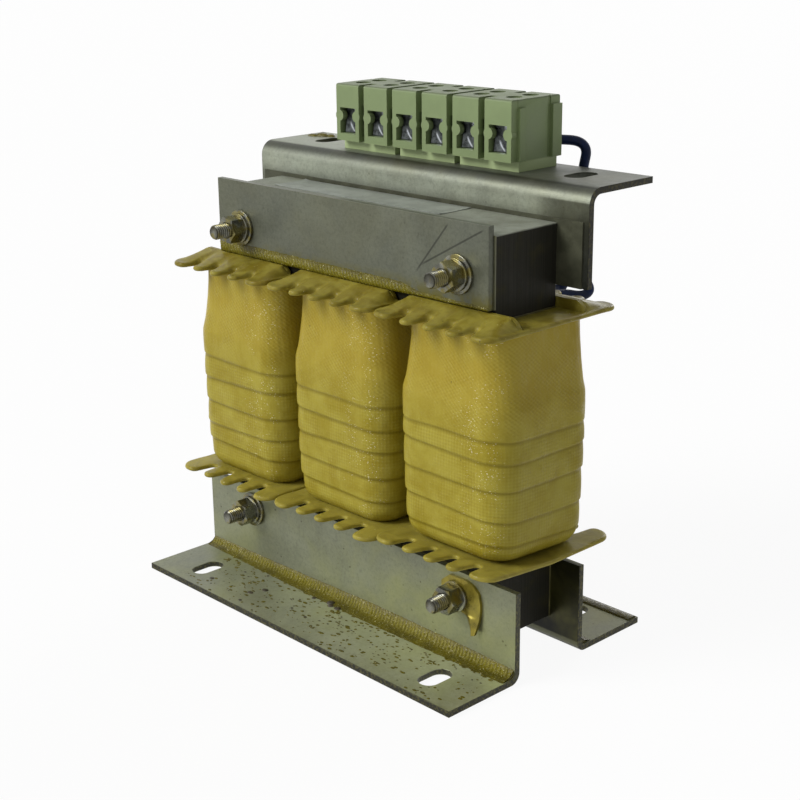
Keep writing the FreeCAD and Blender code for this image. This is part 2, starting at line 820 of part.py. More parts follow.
def terminal_module(name, index):
    """Moulded housing of two poles, open at the front, the rear and the top.

    Each pole has a wire entry at both ends, a chamber behind it for the clamp
    cage, a channel for the current bar and two wells for the screws.
    """
    owner = body("terminal_module_" + name, module_x(index))
    front, back = size("block_front"), block_back
    plan = sketch(owner, "module_plan_" + name, "XY_Plane", block_floor)
    polygon(plan, module_plan())
    pad(owner, "module_pad_" + name, plan, size("block_height"))
    fillet(owner, "module_top_" + name, size("block_edge"),
           lambda e, p: (along(e, "x") and near(p.z, block_top)
                         and (near(p.y, front) or near(p.y, back))))
    module_half = size("pole_pitch") - size("module_gap") / 2
    ribs = sketch(owner, "rib_tops_" + name, "XY_Plane", block_top)
    for hand in (-1, 1):
        polygon(ribs, box_corners((module_half - size("rib_height")) * hand,
                                  front + size("rib_width") / 2,
                                  (module_half + 1) * hand, back + 1))
    pocket(owner, "rib_tops_cut_" + name, ribs, size("rib_drop"))
    foot = sketch(owner, "plinth_" + name, "XY_Plane", shelf_top)
    half = size("plinth_width") / 2
    polygon(foot, box_corners(-half, front + size("plinth_setback"), half, back - 1))
    pad(owner, "plinth_pad_" + name, foot, size("plinth_height"))
    pegs = sketch(owner, "pegs_" + name, "XY_Plane", shelf_top)
    for x in pole_offsets():
        circle(pegs, x, peg_y(), size("peg_diameter"))
    pad(owner, "peg_pad_" + name, pegs, size("sheet") + size("peg_rise"), reverse=True)
    mouth = size("entry_width") / 2
    lip = size("entry_lip")
    bump_x = mouth + size("entry_bump_radius") - size("entry_bump")
    bump_z = entry_base + size("entry_bump_height")
    for side, face, inner, turned in (("front", front, front + lip, False),
                                      ("rear", back, back - lip, True)):
        tag = "%s_%s" % (side, name)
        entry = sketch(owner, "entry_" + tag, "XZ_Plane", -face)
        cavity = sketch(owner, "chamber_" + tag, "XZ_Plane", -inner)
        bumps = sketch(owner, "bumps_" + tag, "XZ_Plane", -face)
        for x in pole_offsets():
            polygon(entry, box_corners(x - mouth, entry_base, x + mouth, entry_top))
            polygon(cavity, box_corners(x - mouth, entry_base, x + mouth, cavity_top))
            for hand in (-1, 1):
                circle(bumps, x + bump_x * hand, bump_z, size("entry_bump_radius") * 2)
        pocket(owner, "entry_cut_" + tag, entry, lip, reverse=turned)
        pocket(owner, "chamber_cut_" + tag, cavity, size("chamber_depth"), reverse=turned)
        pad(owner, "bump_pad_" + tag, bumps, lip, reverse=not turned)
    channel = sketch(owner, "channel_" + name, "XZ_Plane", -(front + lip))
    gap = size("bar_clearance")
    for x in pole_offsets():
        reach = size("bar_width") / 2 + gap
        polygon(channel, box_corners(x - reach, entry_top - gap, x + reach,
                                     entry_top + size("bar_thickness") + gap))
    pocket(owner, "channel_cut_" + name, channel, size("block_depth") - lip * 2)
    wells = sketch(owner, "wells_" + name, "XY_Plane", block_top)
    for x in pole_offsets():
        for y in screw_rows():
            circle(wells, x, y, size("well_diameter"))
    pocket(owner, "wells_cut_" + name, wells, block_top - cavity_top + 0.1)
    return owner


def cage_starts():
    """Front faces of the two cages of a pole, front row and rear row."""
    front_row = size("block_front") + size("cage_setback")
    rear_row = block_back - size("cage_setback") - size("cage_depth")
    return [front_row, rear_row]


def screw_rows():
    return [start + size("cage_depth") / 2 for start in cage_starts()]


def clamp_cages(label, start):
    """Steel cages of one row: a square loop around the bar and the wire's way."""
    owner = group(label)
    outline = sketch(owner, label + "_outline", "XZ_Plane", -start)
    half = size("cage_width") / 2
    wall = size("cage_wall")
    floor = entry_base + 0.1
    roof = entry_top + size("bar_thickness") + 0.1 + wall
    for x in all_poles():
        polygon(outline, box_corners(x - half, floor, x + half, roof))
        polygon(outline, box_corners(x - half + wall, floor + wall, x + half - wall, roof - wall))
    pad(owner, label + "_pad", outline, size("cage_depth"), reverse=True)
    threads = sketch(owner, label + "_threads", "XY_Plane", roof)
    for x in all_poles():
        circle(threads, x, start + size("cage_depth") / 2, size("screw_diameter"))
    pocket(owner, label + "_tapped", threads, wall * 2)
    return owner


def clamp_screws(label, y):
    """Slotted screws of one row, which press on the current bars."""
    owner = group(label)
    seat = entry_top + size("bar_thickness") + 0.1
    head_seat = seat + size("cage_wall") + size("screw_travel")
    shank = sketch(owner, label + "_shanks", "XY_Plane", seat)
    head = sketch(owner, label + "_heads", "XY_Plane", head_seat)
    cut = sketch(owner, label + "_slots", "XY_Plane", head_seat + size("screw_head_height"))
    half = size("screw_slot") / 2
    reach = size("screw_head_diameter")
    for x in all_poles():
        circle(shank, x, y, size("screw_diameter"))
        circle(head, x, y, size("screw_head_diameter"))
        polygon(cut, box_corners(x - reach / 2 - 0.2, y - half, x + reach / 2 + 0.2, y + half))
    pad(owner, label + "_shank_pad", shank, head_seat - seat)
    pad(owner, label + "_head_pad", head, size("screw_head_height"))
    pocket(owner, label + "_slotted", cut, size("screw_head_height") / 2)
    return owner


def current_bars():
    """Brass bars that join the front clamp of each pole to its rear clamp."""
    owner = group("current_bars")
    outline = sketch(owner, "bar_outline", "XY_Plane", entry_top)
    half = size("bar_width") / 2
    inset = size("entry_lip") + size("bar_clearance")
    for x in all_poles():
        polygon(outline, box_corners(x - half, size("block_front") + inset, x + half,
                                     block_back - inset))
    pad(owner, "bar_pad", outline, size("bar_thickness"))
    return owner


# Leads from the rear terminals to the coils

def lead_route(pole, side_x, loop_x, coil_x):
    """Corner points of one lead, from its terminal to its coil."""
    out = block_back.number
    level = (entry_base + size("cage_wall") + 0.1 + size("lead_diameter") / 2).number + 0.05
    rear = (web_face + size("shelf_reach")).number
    shelf = shelf_top.number
    under = (flange_roof - size("flange_thickness") - size("lead_diameter") / 2).number - 0.5
    skin = (size("coil_half_y") - size("coil_neck") / 2).number
    return [
        (pole, out - 7.0, level + 0.3),
        (pole, out + 2.2, level - 0.8),
        (side_x, rear + 5.5, level - 1.1),
        (side_x - 1.8, rear + 4.5, shelf - 3.0),
        (side_x - 1.3, rear + 3.9, shelf - 31.5),
        (loop_x + 1.2, rear + 5.9, under),
        (loop_x - 1.2, rear + 1.5, under - 1.9),
        (coil_x + 1.0, rear - 6.5, under + 0.6),
        (coil_x, skin, under),
    ]


def round_path(points):
    """Straight runs through the points, joined by the largest tangent arcs.

    An arc's radius is 0.45 of the shorter of its two runs, divided by the
    tangent of half the turn.
    """
    spots = [FreeCAD.Vector(*p) for p in points]
    edges, radii = [], []
    start = spots[0]
    for before, corner, after in zip(spots, spots[1:], spots[2:]):
        back, ahead = before - corner, after - corner
        tangent = 0.45 * min(back.Length, ahead.Length)
        turn = math.pi - back.getAngle(ahead)
        radii.append(tangent / math.tan(turn / 2))
        back.normalize()
        ahead.normalize()
        enter, leave = corner + back * tangent, corner + ahead * tangent
        bisector = (back + ahead).normalize()
        reach = tangent / math.sin(turn / 2)
        middle = corner + bisector * (radii[-1] / math.cos(turn / 2) - radii[-1])
        if reach <= 0:
            raise RuntimeError("three points of a lead lie in line")
        edges.append(Part.LineSegment(start, enter).toShape())
        edges.append(Part.Arc(enter, middle, leave).toShape())
        start = leave
    edges.append(Part.LineSegment(start, spots[-1]).toShape())
    return Part.Wire(edges), radii


def lead(number, points):
    """One insulated lead as a plain tube along its route."""
    path, radii = round_path(points)
    diameter = size("lead_diameter").number
    start = FreeCAD.Vector(*points[0])
    direction = (FreeCAD.Vector(*points[1]) - start).normalize()
    ring = Part.Wire([Part.Circle(start, direction, diameter / 2).toShape()])
    tube = path.makePipeShell([ring], True, True)
    expected = math.pi * diameter ** 2 / 4 * path.Length
    print("lead %d: length %.1f, radii %s, volume ratio %.4f" % (
        number, path.Length, ["%.1f" % r for r in radii], tube.Volume / expected))
    new = doc.addObject("Part::Feature", "lead_%d" % number)
    new.Label = "lead_%d" % number
    new.Shape = tube
    new.Placement = FreeCAD.Placement()
    return new


def build():
    """Makes every piece and gives them in the order of assembly."""
    pieces = [core_stack(), top_yoke()]
    half_core = core_length / 2
    shelf_half = half_core + size("insulation_overhang")
    bar_top = clamp_bar_base + size("clamp_bar_height")
    for i, name in enumerate(COILS):
        x = limb_pitch * (i - 1)
        pieces += [gap_spacer(name, x), bobbin(name, x), winding(name, x), tape_wrap(name, x)]
    rise = core_top + size("insulation_rise")
    foot_top = size("foot_web_height")
    pieces += [
        foot_angle("front_foot", -1),
        foot_angle("rear_foot", 1),
        clamp_bar(),
        terminal_bracket(),
        insulation_strip("upper_front_insulation", -1, clamp_bar_base, core_top,
                         half_core, upper_bolt_z),
        insulation_strip("upper_rear_insulation", 1, shelf_base, rise, shelf_half, upper_bolt_z),
        insulation_strip("lower_front_insulation", -1, size("core_base"), foot_top,
                         half_core, lower_bolt_z),
        insulation_strip("lower_rear_insulation", 1, size("core_base"), foot_top,
                         half_core, lower_bolt_z),
    ]
    pieces += clamp_hardware()
    for i, name in enumerate(MODULES):
        pieces.append(terminal_module(name, i))
    pieces.append(current_bars())
    for row, start, y in zip(("front", "rear"), cage_starts(), screw_rows()):
        pieces.append(clamp_cages("%s_clamp_cages" % row, start))
        pieces.append(clamp_screws("%s_clamp_screws" % row, y))
    for i, (pole, run) in enumerate(zip(all_poles(), LEAD_RUNS), start=1):
        pieces.append(lead(i, lead_route(pole.number, *run)))
    return pieces


def check(pieces):
    """Stops before anything is written if a piece failed or is not sound."""
    for feature in doc.Objects:
        for state in ("Invalid", "Error"):
            if state in feature.State:
                raise RuntimeError("%s is %s" % (feature.Name, state))
    for piece in pieces:
        if piece.Shape.isNull() or not piece.Shape.isValid() or not piece.Shape.Solids:
            raise RuntimeError("%s has no sound shape" % piece.Label)


pieces = build()
doc.recompute()
check(pieces)
os.makedirs("parts", exist_ok=True)
for piece in pieces:
    piece.Shape.exportStep(os.path.join("parts", piece.Label + ".step"))
print("%d pieces written" % len(pieces))
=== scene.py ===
"""Looks of a three-phase load reactor: taped coils on a laminated core, plated sheet metal and
a pale green terminal block. Lengths in this file are in millimetres, and turn to metres in the
meshes.
"""
import math

import bmesh
import bpy
import numpy as np
from mathutils import Matrix, Vector


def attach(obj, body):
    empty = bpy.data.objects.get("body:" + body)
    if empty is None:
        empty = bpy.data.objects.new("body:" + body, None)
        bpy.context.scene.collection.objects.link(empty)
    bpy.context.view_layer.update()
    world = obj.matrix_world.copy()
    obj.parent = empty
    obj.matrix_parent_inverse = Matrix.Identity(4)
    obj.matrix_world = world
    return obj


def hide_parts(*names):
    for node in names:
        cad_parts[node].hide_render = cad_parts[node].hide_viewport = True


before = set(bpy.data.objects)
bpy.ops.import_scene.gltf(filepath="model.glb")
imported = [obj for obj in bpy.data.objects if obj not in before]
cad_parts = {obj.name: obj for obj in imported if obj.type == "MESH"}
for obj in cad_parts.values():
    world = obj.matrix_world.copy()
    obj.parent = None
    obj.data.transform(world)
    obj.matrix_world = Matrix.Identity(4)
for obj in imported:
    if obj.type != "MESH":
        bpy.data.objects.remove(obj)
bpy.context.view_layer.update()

MM = 0.001
TURN = 2 * math.pi

# Sizes in millimetres, most of them shared with the model of the object
SIDES = ("left", "middle", "right")
LIMB_PITCH = 50.0
FLANGE_HALF_X, FLANGE_THICK = 24.5, 1.4
LOWER_FLANGE_Z, UPPER_FLANGE_Z = 34.3, 108.3
RIM_Y, RIM_HALF_THICK = 14.32, 0.95
LOWER_RIM, UPPER_RIM = (20.0, 1.4), (23.0, 3.2)    # half length and height
WEB_RISE = 3.1              # slope beside the upper rims, down to the tongues
TUBE_HALF_X, TUBE_HALF_Y = 14.0, 14.5
COIL_FLOOR, COIL_ROOF = 36.0, 108.0
TAPE_HALF_X, TAPE_HALF_Y, TAPE_CORNER = 22.45, 21.15, 9.0
COPPER_HALF_X, COPPER_HALF_Y, COPPER_CORNER = 19.6, 18.2, 6.5
WEB_BACK = 15.5             # outer face of the bars and of the feet's webs
BOLT_X, LOWER_BOLT_Z, UPPER_BOLT_Z = 50.0, 21.5, 122.5
BOLT_RADIUS, THREAD_PITCH, THREAD_DEPTH, ACROSS_FLATS = 2.48, 0.8, 0.42, 8.0
HEAD_FACE, HEAD_TOP, NUT_FACE, NUT_TOP = 16.5, 20.0, -17.5, -22.2
BOLT_END, THREAD_START = -27.45, -16.0
WASHER_THICK, WASHER_BORE = 1.0, 2.65
LEAD_RADIUS = 1.55
BLOCK_FRONT, BLOCK_SHIFT, POLE_PITCH = 18.0, 0.5, 13.5
ENTRY_TOP = 160.1
CORE_TOP = 135.0
FOOT_HALF = 74.0
BAR_LOW, SHEET, LAMINATION = 113.5, 2.0, 0.5
SLOT_X, SLOT_Y = 56.5, 32.0
TONGUE_PITCH, TONGUE_TIP, GAP_HALF = 9.3, 2.5, 1.55
FLANGE_CORNER, COMB_INNER = 5.0, 15.3
HOLE_X, HOLE_Y = 13.0, 13.4
GIRTH = 153.76              # way round a coil on the tape's own map
WAVE_SPAN = 150             # way along x after which the slow waves repeat


# Finishes

def tone(r, g, b):
    """Linear colour of a colour given as 0 to 255 on a screen."""
    def line(c):
        c /= 255
        return c / 12.92 if c <= 0.04045 else ((c + 0.055) / 1.055) ** 2.4
    return (line(r), line(g), line(b), 1.0)


def shade(colour, factor):
    """The colour times a factor, held at 1."""
    return tuple(min(1.0, c * factor) for c in colour[:3]) + (1.0,)


RESIN = tone(100, 94, 30)


class Finish:
    """A procedural material on the Object coordinates, built node by node."""

    def __init__(self, name, **sockets):
        self.material = bpy.data.materials.new(name)
        self.material.use_nodes = True
        self.tree = self.material.node_tree
        self.shader = self.tree.nodes["Principled BSDF"]
        self.place = self.node("TexCoord", out="Object")
        for socket, value in sockets.items():
            self.shader.inputs[socket.replace("_", " ")].default_value = value

    def node(self, kind, inputs=None, out=0, **settings):
        made = self.tree.nodes.new("ShaderNode" + kind)
        for name, value in settings.items():
            setattr(made, name, value)
        for name, value in (inputs or {}).items():
            self.feed(made.inputs[name], value)
        return made.outputs[out]

    def feed(self, socket, value):
        if isinstance(value, bpy.types.NodeSocket):
            self.tree.links.new(value, socket)
        else:
            socket.default_value = value

    def done(self, colour, roughness, relief):
        """Gives the shader its colour, roughness and normals, and returns the material."""
        self.feed(self.shader.inputs["Base Color"], colour)
        self.feed(self.shader.inputs["Roughness"], roughness)
        self.feed(self.shader.inputs["Normal"], relief)
        return self.material

    def axis(self, name, at=None):
        return self.node("SeparateXYZ", {"Vector": at or self.place}, out=name)

    def mark(self, name):
        """The number that the mesh's points carry under this name."""
        return self.node("Attribute", out="Fac", attribute_name=name)

    def scaled(self, size):
        """Coordinates counted in size millimetres, given once or for X, Y and Z."""
        scale = [1 / (s * MM) for s in np.broadcast_to(size, 3).tolist()]
        return self.node("Mapping", {"Vector": self.place, "Scale": scale})

    def noise(self, size, detail=3.0, rough=0.55, twist=0.0):
        """Cloudy pattern whose spots are about size millimetres."""
        return self.node("TexNoise", {"Vector": self.scaled(size), "Scale": 1.0, "Detail": detail,
                                      "Roughness": rough, "Distortion": twist})

    def math(self, how, a, b=0.0):
        made = self.tree.nodes.new("ShaderNodeMath")
        made.operation = how
        self.feed(made.inputs[0], a)
        self.feed(made.inputs[1], b)
        return made.outputs[0]

    def times(self, a, b):
        return self.math("MULTIPLY", a, b)

    def step(self, value, low, high, start=0.0, end=1.0):
        """start below low, end above high and a smooth rise between them."""
        return self.node("MapRange", {"Value": value, "From Min": low, "From Max": high,
                                      "To Min": start, "To Max": end},
                         interpolation_type="SMOOTHSTEP")

    def fall(self, value, low, high):
        """1 below low and 0 above high."""
        return self.step(value, low, high, 1.0, 0.0)

    def along(self, axis, low, high, start=0.0, end=1.0):
        """A step between two places of an axis, in millimetres."""
        return self.step(self.axis(axis), low * MM, high * MM, start, end)

    def band(self, axis, low, full, fading, high):
        """1 from full to fading on an axis, and 0 below low and above high."""
        return self.times(self.along(axis, low, full), self.along(axis, fading, high, 1.0, 0.0))

    def dots(self, size, core, edge, patch, low, high):
        """Round dots from core to edge wide, in some patches only."""
        cells = self.node("TexVoronoi", {"Vector": self.scaled(size), "Scale": 1.0},
                          out="Distance")
        return self.times(self.fall(cells, core, edge), self.step(self.noise(patch, 2), low, high))

    def blend(self, share, a, b, how="MIX"):
        made = self.tree.nodes.new("ShaderNodeMix")
        made.data_type, made.blend_type = "RGBA", how
        for i, value in ((0, share), (6, a), (7, b)):
            self.feed(made.inputs[i], value)
        return made.outputs[2]

    def tint(self, base, mask, amount, colour):
        """The base with amount of a colour where the mask is 1."""
        return self.blend(self.times(mask, amount), base, colour)

    def bump(self, height, depth, under=None):
        """Normals of a relief whose height 1 stands depth millimetres high."""
        inputs = {"Height": height, "Distance": depth * MM, "Strength": 1.0}
        if under is not None:
            inputs["Normal"] = under
        return self.node("Bump", inputs)

    def stripe(self, start, end, width):
        """1 on a thin line between two places (x, z) of a flat face, 0 elsewhere."""
        (ax, az), (bx, bz) = start, end
        length = math.hypot(bx - ax, bz - az)
        ux, uz = (bx - ax) / length, (bz - az) / length
        x = self.math("SUBTRACT", self.axis("X"), ax * MM)
        z = self.math("SUBTRACT", self.axis("Z"), az * MM)
        ahead = self.math("ADD", self.times(x, ux), self.times(z, uz))
        aside = self.math("SUBTRACT", self.times(x, -uz), self.times(z, -ux))
        near = self.fall(self.math("ABSOLUTE", aside), width * MM * 0.4, width * MM)
        inside = self.times(self.step(ahead, 0.0, 2 * MM),
                            self.fall(ahead, (length - 4) * MM, length * MM))
        return self.times(near, inside)


def zinc_sheet(name, colour, stain, specks, scratches=(), wet=None, edges=(), painted_light=(),
               film_tone=RESIN, crust_tones=(tone(30, 30, 22), tone(80, 76, 40))):
    """Zinc-plated sheet: cloudy plate, rolling lines, resin film, dark specks and scratches.

    stain and specks give the share of the film, whose colour is film_tone, and of the specks.
    wet gives the height that resin creeps up from, and how far. edges lists (axis, from, to)
    ranges of the way from the middle where the cut edge or a slot's wall shows, dark with
    crusts of crust_tones. scratches lists (start, end, width, depth) of dark lines on a face.
    shades lists painted light and shade as (axis, start, end, factor, level): from start to end on
    the axis the plate's brightness goes over to factor times, above level, or below it where level
    is negative. A factor above 1 is a painted highlight and one below 1 a painted shadow.
    """
    m = Finish(name, Metallic=0.6, Roughness=0.42, Specular_IOR_Level=0.4)
    cloud = m.noise(14, 5, 0.62)
    fine = m.noise(0.9, 4, 0.7)
    roll = m.noise((45, 0.35, 0.35), 3, 0.6)
    dark, light = shade(colour, 0.80), shade(colour, 1.18)
    base = m.blend(m.step(cloud, 0.20, 0.80), dark, light)
    base = m.tint(base, m.step(m.noise(1.3, 4, 0.75), 0.44, 0.66), 0.44, shade(colour, 0.55))
    base = m.tint(base, m.step(fine, 0.45, 0.68), 0.45, light)
    base = m.tint(base, m.step(roll, 0.45, 0.72), 0.20, dark)
    film = m.times(m.step(m.noise(26, 4, 0.6, 0.4), 0.34, 0.76), stain)
    if wet is not None:
        low, reach = wet
        creep = m.times(m.along("Z", low, low + reach, 0.85, 0.0),
                        m.step(m.noise(3.5, 4), 0.30, 0.58))
        film = m.math("MAXIMUM", film, creep)
    # Painted light and shade: the plate made brighter or darker by place
    for axis, start, end, factor, level in painted_light:
        limit = m.along("Z", abs(level) - 0.6, abs(level))
        limit = limit if level > 0 else m.math("SUBTRACT", 1.0, limit)
        relit = m.blend(1.0, base, (factor, factor, factor, 1), how="MULTIPLY")
        base = m.blend(m.times(m.along(axis, start, end), limit), base, relit)
    base = m.blend(film, base, film_tone)
    base = m.tint(base, m.dots(2.6, 0.10, 0.20, 5, 0.54, 0.60), specks, tone(50, 46, 22))
    relief = m.bump(roll, 0.012, m.bump(fine, 0.018))
    for start, end, width, depth in scratches:
        line = m.stripe(start, end, width)
        base = m.tint(base, line, 0.7, tone(44, 45, 38))
        relief = m.bump(line, -depth, relief)
    worn = m.blend(m.step(m.noise(1.0, 4, 0.7), 0.46, 0.62), *crust_tones)
    for axis, low, high in edges:
        at = m.math("ABSOLUTE", m.axis(axis))
        inside = m.times(m.step(at, (low - 0.1) * MM, (low + 0.1) * MM),
                         m.fall(at, (high - 0.1) * MM, (high + 0.1) * MM))
        base = m.tint(base, inside, 0.9, worn)
    rough = m.math("SUBTRACT", m.step(cloud, 0.3, 0.7, 0.36, 0.52), m.times(film, 0.15))
    return m.done(base, rough, relief)


def laminated_steel(name, colour, crown=None):
    """Core steel whose sheets show as faint lines across Y.

    crown is the tone of the yoke's top, which is paler.
    """
    m = Finish(name, Metallic=0.25, Roughness=0.55, Specular_IOR_Level=0.15)
    across = m.math("DIVIDE", m.axis("Y"), LAMINATION * MM)
    sheets = m.node("TexNoise", {"W": across, "Scale": 1.0, "Detail": 1.0, "Roughness": 0.5},
                    noise_dimensions="1D")
    middle = m.math("ABSOLUTE", m.math("SUBTRACT", m.math("FRACT", across), 0.5))
    gap = m.step(middle, 0.38, 0.49)
    cloud = m.noise(9, 4, 0.6)
    base = m.blend(m.step(sheets, 0.35, 0.65), shade(colour, 0.78), shade(colour, 1.22))
    if crown is not None:
        above = m.along("Z", CORE_TOP - 0.5, CORE_TOP - 0.1)
        base = m.blend(above, base, m.blend(m.step(cloud, 0.3, 0.7), crown, tone(128, 131, 118)))
    base = m.tint(base, gap, 0.35, tone(14, 14, 10))
    base = m.tint(base, m.step(cloud, 0.5, 0.75), 0.12, RESIN)
    return m.done(base, m.step(cloud, 0.3, 0.7, 0.46, 0.62),
                  m.bump(m.noise(0.8, 3, 0.6), 0.01, m.bump(gap, -0.03)))


def resin_plastic(name, colour, deep):
    """Plastic under a glossy skin of resin, deeper olive where the resin gathers, with painted
    glints.
    """
    m = Finish(name, Roughness=0.36, Coat_Weight=0.05, Coat_Roughness=0.06,
               Subsurface_Weight=0.12, Subsurface_Scale=0.003, Specular_IOR_Level=0.10,
               Subsurface_Radius=(1.0, 0.8, 0.15))
    pool = m.noise(6, 4, 0.6, 0.8)
    gathered = m.step(pool, 0.34, 0.66)
    drops = m.noise(1.3, 3, 0.6)
    streak = m.noise((2.2, 11, 4), 3, 0.6)
    base = m.blend(gathered, colour, deep)
    base = m.tint(base, m.step(streak, 0.5, 0.75), 0.3, tone(112, 88, 12))
    base = m.tint(base, m.step(drops, 0.66, 0.74), 0.25, tone(160, 152, 84))
    base = m.tint(base, m.dots(3.2, 0.07, 0.12, 7, 0.55, 0.60), 0.6, tone(58, 44, 10))
    base = m.blend(m.along("Z", 50, 60, 0.8, 0.0), base,
                   m.blend(gathered, tone(164, 152, 66), colour))
    # Painted glints: small painted highlights
    painted_glint = m.times(m.step(m.noise(0.7, 2), 0.70, 0.73), m.step(m.noise(6, 2), 0.52, 0.58))
    base = m.tint(base, painted_glint, 0.6, tone(232, 226, 176))
    return m.done(base, m.step(pool, 0.3, 0.7, 0.42, 0.28),
                  m.bump(drops, 0.025, m.bump(pool, 0.16, m.bump(streak, 0.06))))


def woven_tape(name, colour, deep, middle):
    """Resin-soaked woven tape: threads along and across the wrap on the piece's own map.

    The map's first axis runs round the coil and the second up it, both in metres. A set of
    threads is sin(2 pi (n u / girth + f v)) with n whole, so it closes round the coil. Two
    crossed sets make the weave, straight below and slanted above. Painted glints, painted
    highlights on the resin, are thickest near the front corner on the right of the coil, whose
    axis is at x = middle. The seam mark darkens each seam as a painted shadow line.
    """
    m = Finish(name, Roughness=0.42, Coat_Weight=0.03, Coat_Roughness=0.14,
               Subsurface_Weight=0.08, Subsurface_Scale=0.003, Specular_IOR_Level=0.12,
               Subsurface_Radius=(1.0, 0.8, 0.12))
    wrap = m.node("UVMap", uv_map="wrap")
    height = m.axis("Y", wrap)

    def threads_of(turns, upward):
        around = m.times(m.axis("X", wrap), TURN * turns / (GIRTH * MM))
        return m.math("SINE", m.math("ADD", around, m.times(height, TURN * upward / MM)))

    def weave(first, second, share):
        return m.math("ADD", m.times(threads_of(*first), share),
                      m.times(threads_of(*second), 1 - share))

    sway = m.times(m.math("SUBTRACT", m.noise(20, 2), 0.5), 12 * MM)
    upper = m.step(m.math("ADD", height, sway), 74 * MM, 82 * MM)
    straight = weave((140, 0.0), (0, 0.92), 0.5)
    slanted = weave((96, 0.72), (-70, 0.86), 0.68)
    threads = m.node("Mix", {0: upper, 2: straight, 3: slanted}, data_type="FLOAT")
    threads = m.times(threads, m.step(m.noise(9, 3, 0.6), 0.34, 0.62, 0.25, 1.0))
    cloud = m.noise(11, 4, 0.6, 0.3)
    grain = m.noise(0.9, 4, 0.7)
    soak = m.noise(4.5, 4, 0.6)
    base = m.blend(m.step(cloud, 0.32, 0.70), colour, deep)
    for mask, amount, shown in (
            (m.step(height, 70 * MM, 96 * MM), 0.5, tone(168, 144, 52)),
            (m.step(soak, 0.52, 0.76), 0.26, tone(172, 160, 70)),
            (m.step(grain, 0.52, 0.72), 0.16, tone(186, 174, 90)),
            (m.step(threads, 0.1, 0.8), 0.15, tone(188, 176, 84)),
            (m.fall(threads, -0.8, -0.1), 0.17, tone(116, 100, 4)),
            # Painted shadow line under each lap's edge
            (m.mark("seam"), 0.50, tone(98, 84, 2)),
            (m.dots(5.0, 0.05, 0.09, 9, 0.60, 0.64), 0.5, tone(70, 54, 8))):
        base = m.tint(base, mask, amount, shown)
    # Painted glints: painted highlights, thickest near the front corner
    painted_glint = m.times(m.step(m.noise((0.7, 0.7, 0.3), 2), 0.65, 0.69),
                    m.step(m.noise(6, 3), 0.46, 0.58))
    corner = m.times(m.band("X", middle + 2, middle + 12, middle + 18.5, middle + 21.5),
                     m.along("Y", -12, -6, 1.0, 0.0))
    painted_glint = m.times(painted_glint, m.math("ADD", m.times(corner, 0.7), 0.06))
    base = m.blend(painted_glint, base, tone(250, 245, 212))
    wet = m.step(m.noise(13, 3, 0.6), 0.50, 0.66)
    rough = m.math("SUBTRACT", m.step(soak, 0.35, 0.70, 0.50, 0.34), m.times(wet, 0.12))
    m.feed(m.shader.inputs["Coat Normal"], m.bump(grain, 0.22, m.bump(threads, 0.02)))
    return m.done(base, rough, m.bump(soak, 0.20, m.bump(grain, 0.09, m.bump(threads, 0.030))))


def green_plastic(name, colour):
    """Pale green moulded plastic, slightly cloudy, with fine dust, painted light on the plinth and
    painted shade on the top and in the chambers.
    """
    m = Finish(name, Roughness=0.46, Specular_IOR_Level=0.35)
    cloud = m.noise(8, 3)
    base = m.blend(m.step(cloud, 0.35, 0.65), shade(colour, 0.93), colour)
    base = m.tint(base, m.step(m.noise(2.6, 5, 0.65), 0.64, 0.74), 0.22, tone(84, 92, 56))
    # Painted light: the plinth's front and lip made paler
    base = m.tint(base, m.band("Z", 148.3, 148.6, 149.25, 149.4), 0.4, tone(156, 172, 124))
    base = m.blend(m.along("Z", 148.9, 149.3, 0.9, 0.0), base, tone(172, 188, 138))
    # Painted shade: the block's top made darker
    base = m.blend(m.along("Z", 167.2, 167.8, 0.0, 0.85), base, tone(92, 102, 72))
    # Painted shade: the chambers behind the entries made dark
    inner = m.times(m.band("Y", 18.8, 21.0, 38.0, 39.6), m.band("Z", 150.6, 151.2, 160.9, 161.4))
    aside = m.math("ABSOLUTE", m.math("SUBTRACT", m.axis("X"), BLOCK_SHIFT * MM))
    inner = m.times(inner, m.fall(aside, 38.6 * MM, 39.0 * MM))
    base = m.tint(base, inner, 0.8, tone(30, 34, 20))
    return m.done(base, m.step(cloud, 0.3, 0.7, 0.40, 0.52), m.bump(m.noise(0.5, 3, 0.6), 0.012))


def bright_zinc(name):
    """Bright plate of bolts, nuts and washers under thin resin, with painted shade in its grooves.
    """
    m = Finish(name, Metallic=0.75)
    colour = (0.22, 0.22, 0.18, 1.0)
    cloud = m.noise(4.5, 3)
    base = m.blend(m.step(cloud, 0.38, 0.62), shade(colour, 0.5), colour)
    base = m.tint(base, m.step(m.noise(3.2, 2), 0.42, 0.56), 0.6, tone(124, 112, 20))
    # Painted shade: the thread's grooves made dark
    base = m.tint(base, m.mark("groove"), 0.88, tone(30, 27, 8))
    return m.done(base, m.step(cloud, 0.3, 0.7, 0.16, 0.30), m.bump(m.noise(0.35, 3, 0.6), 0.006))


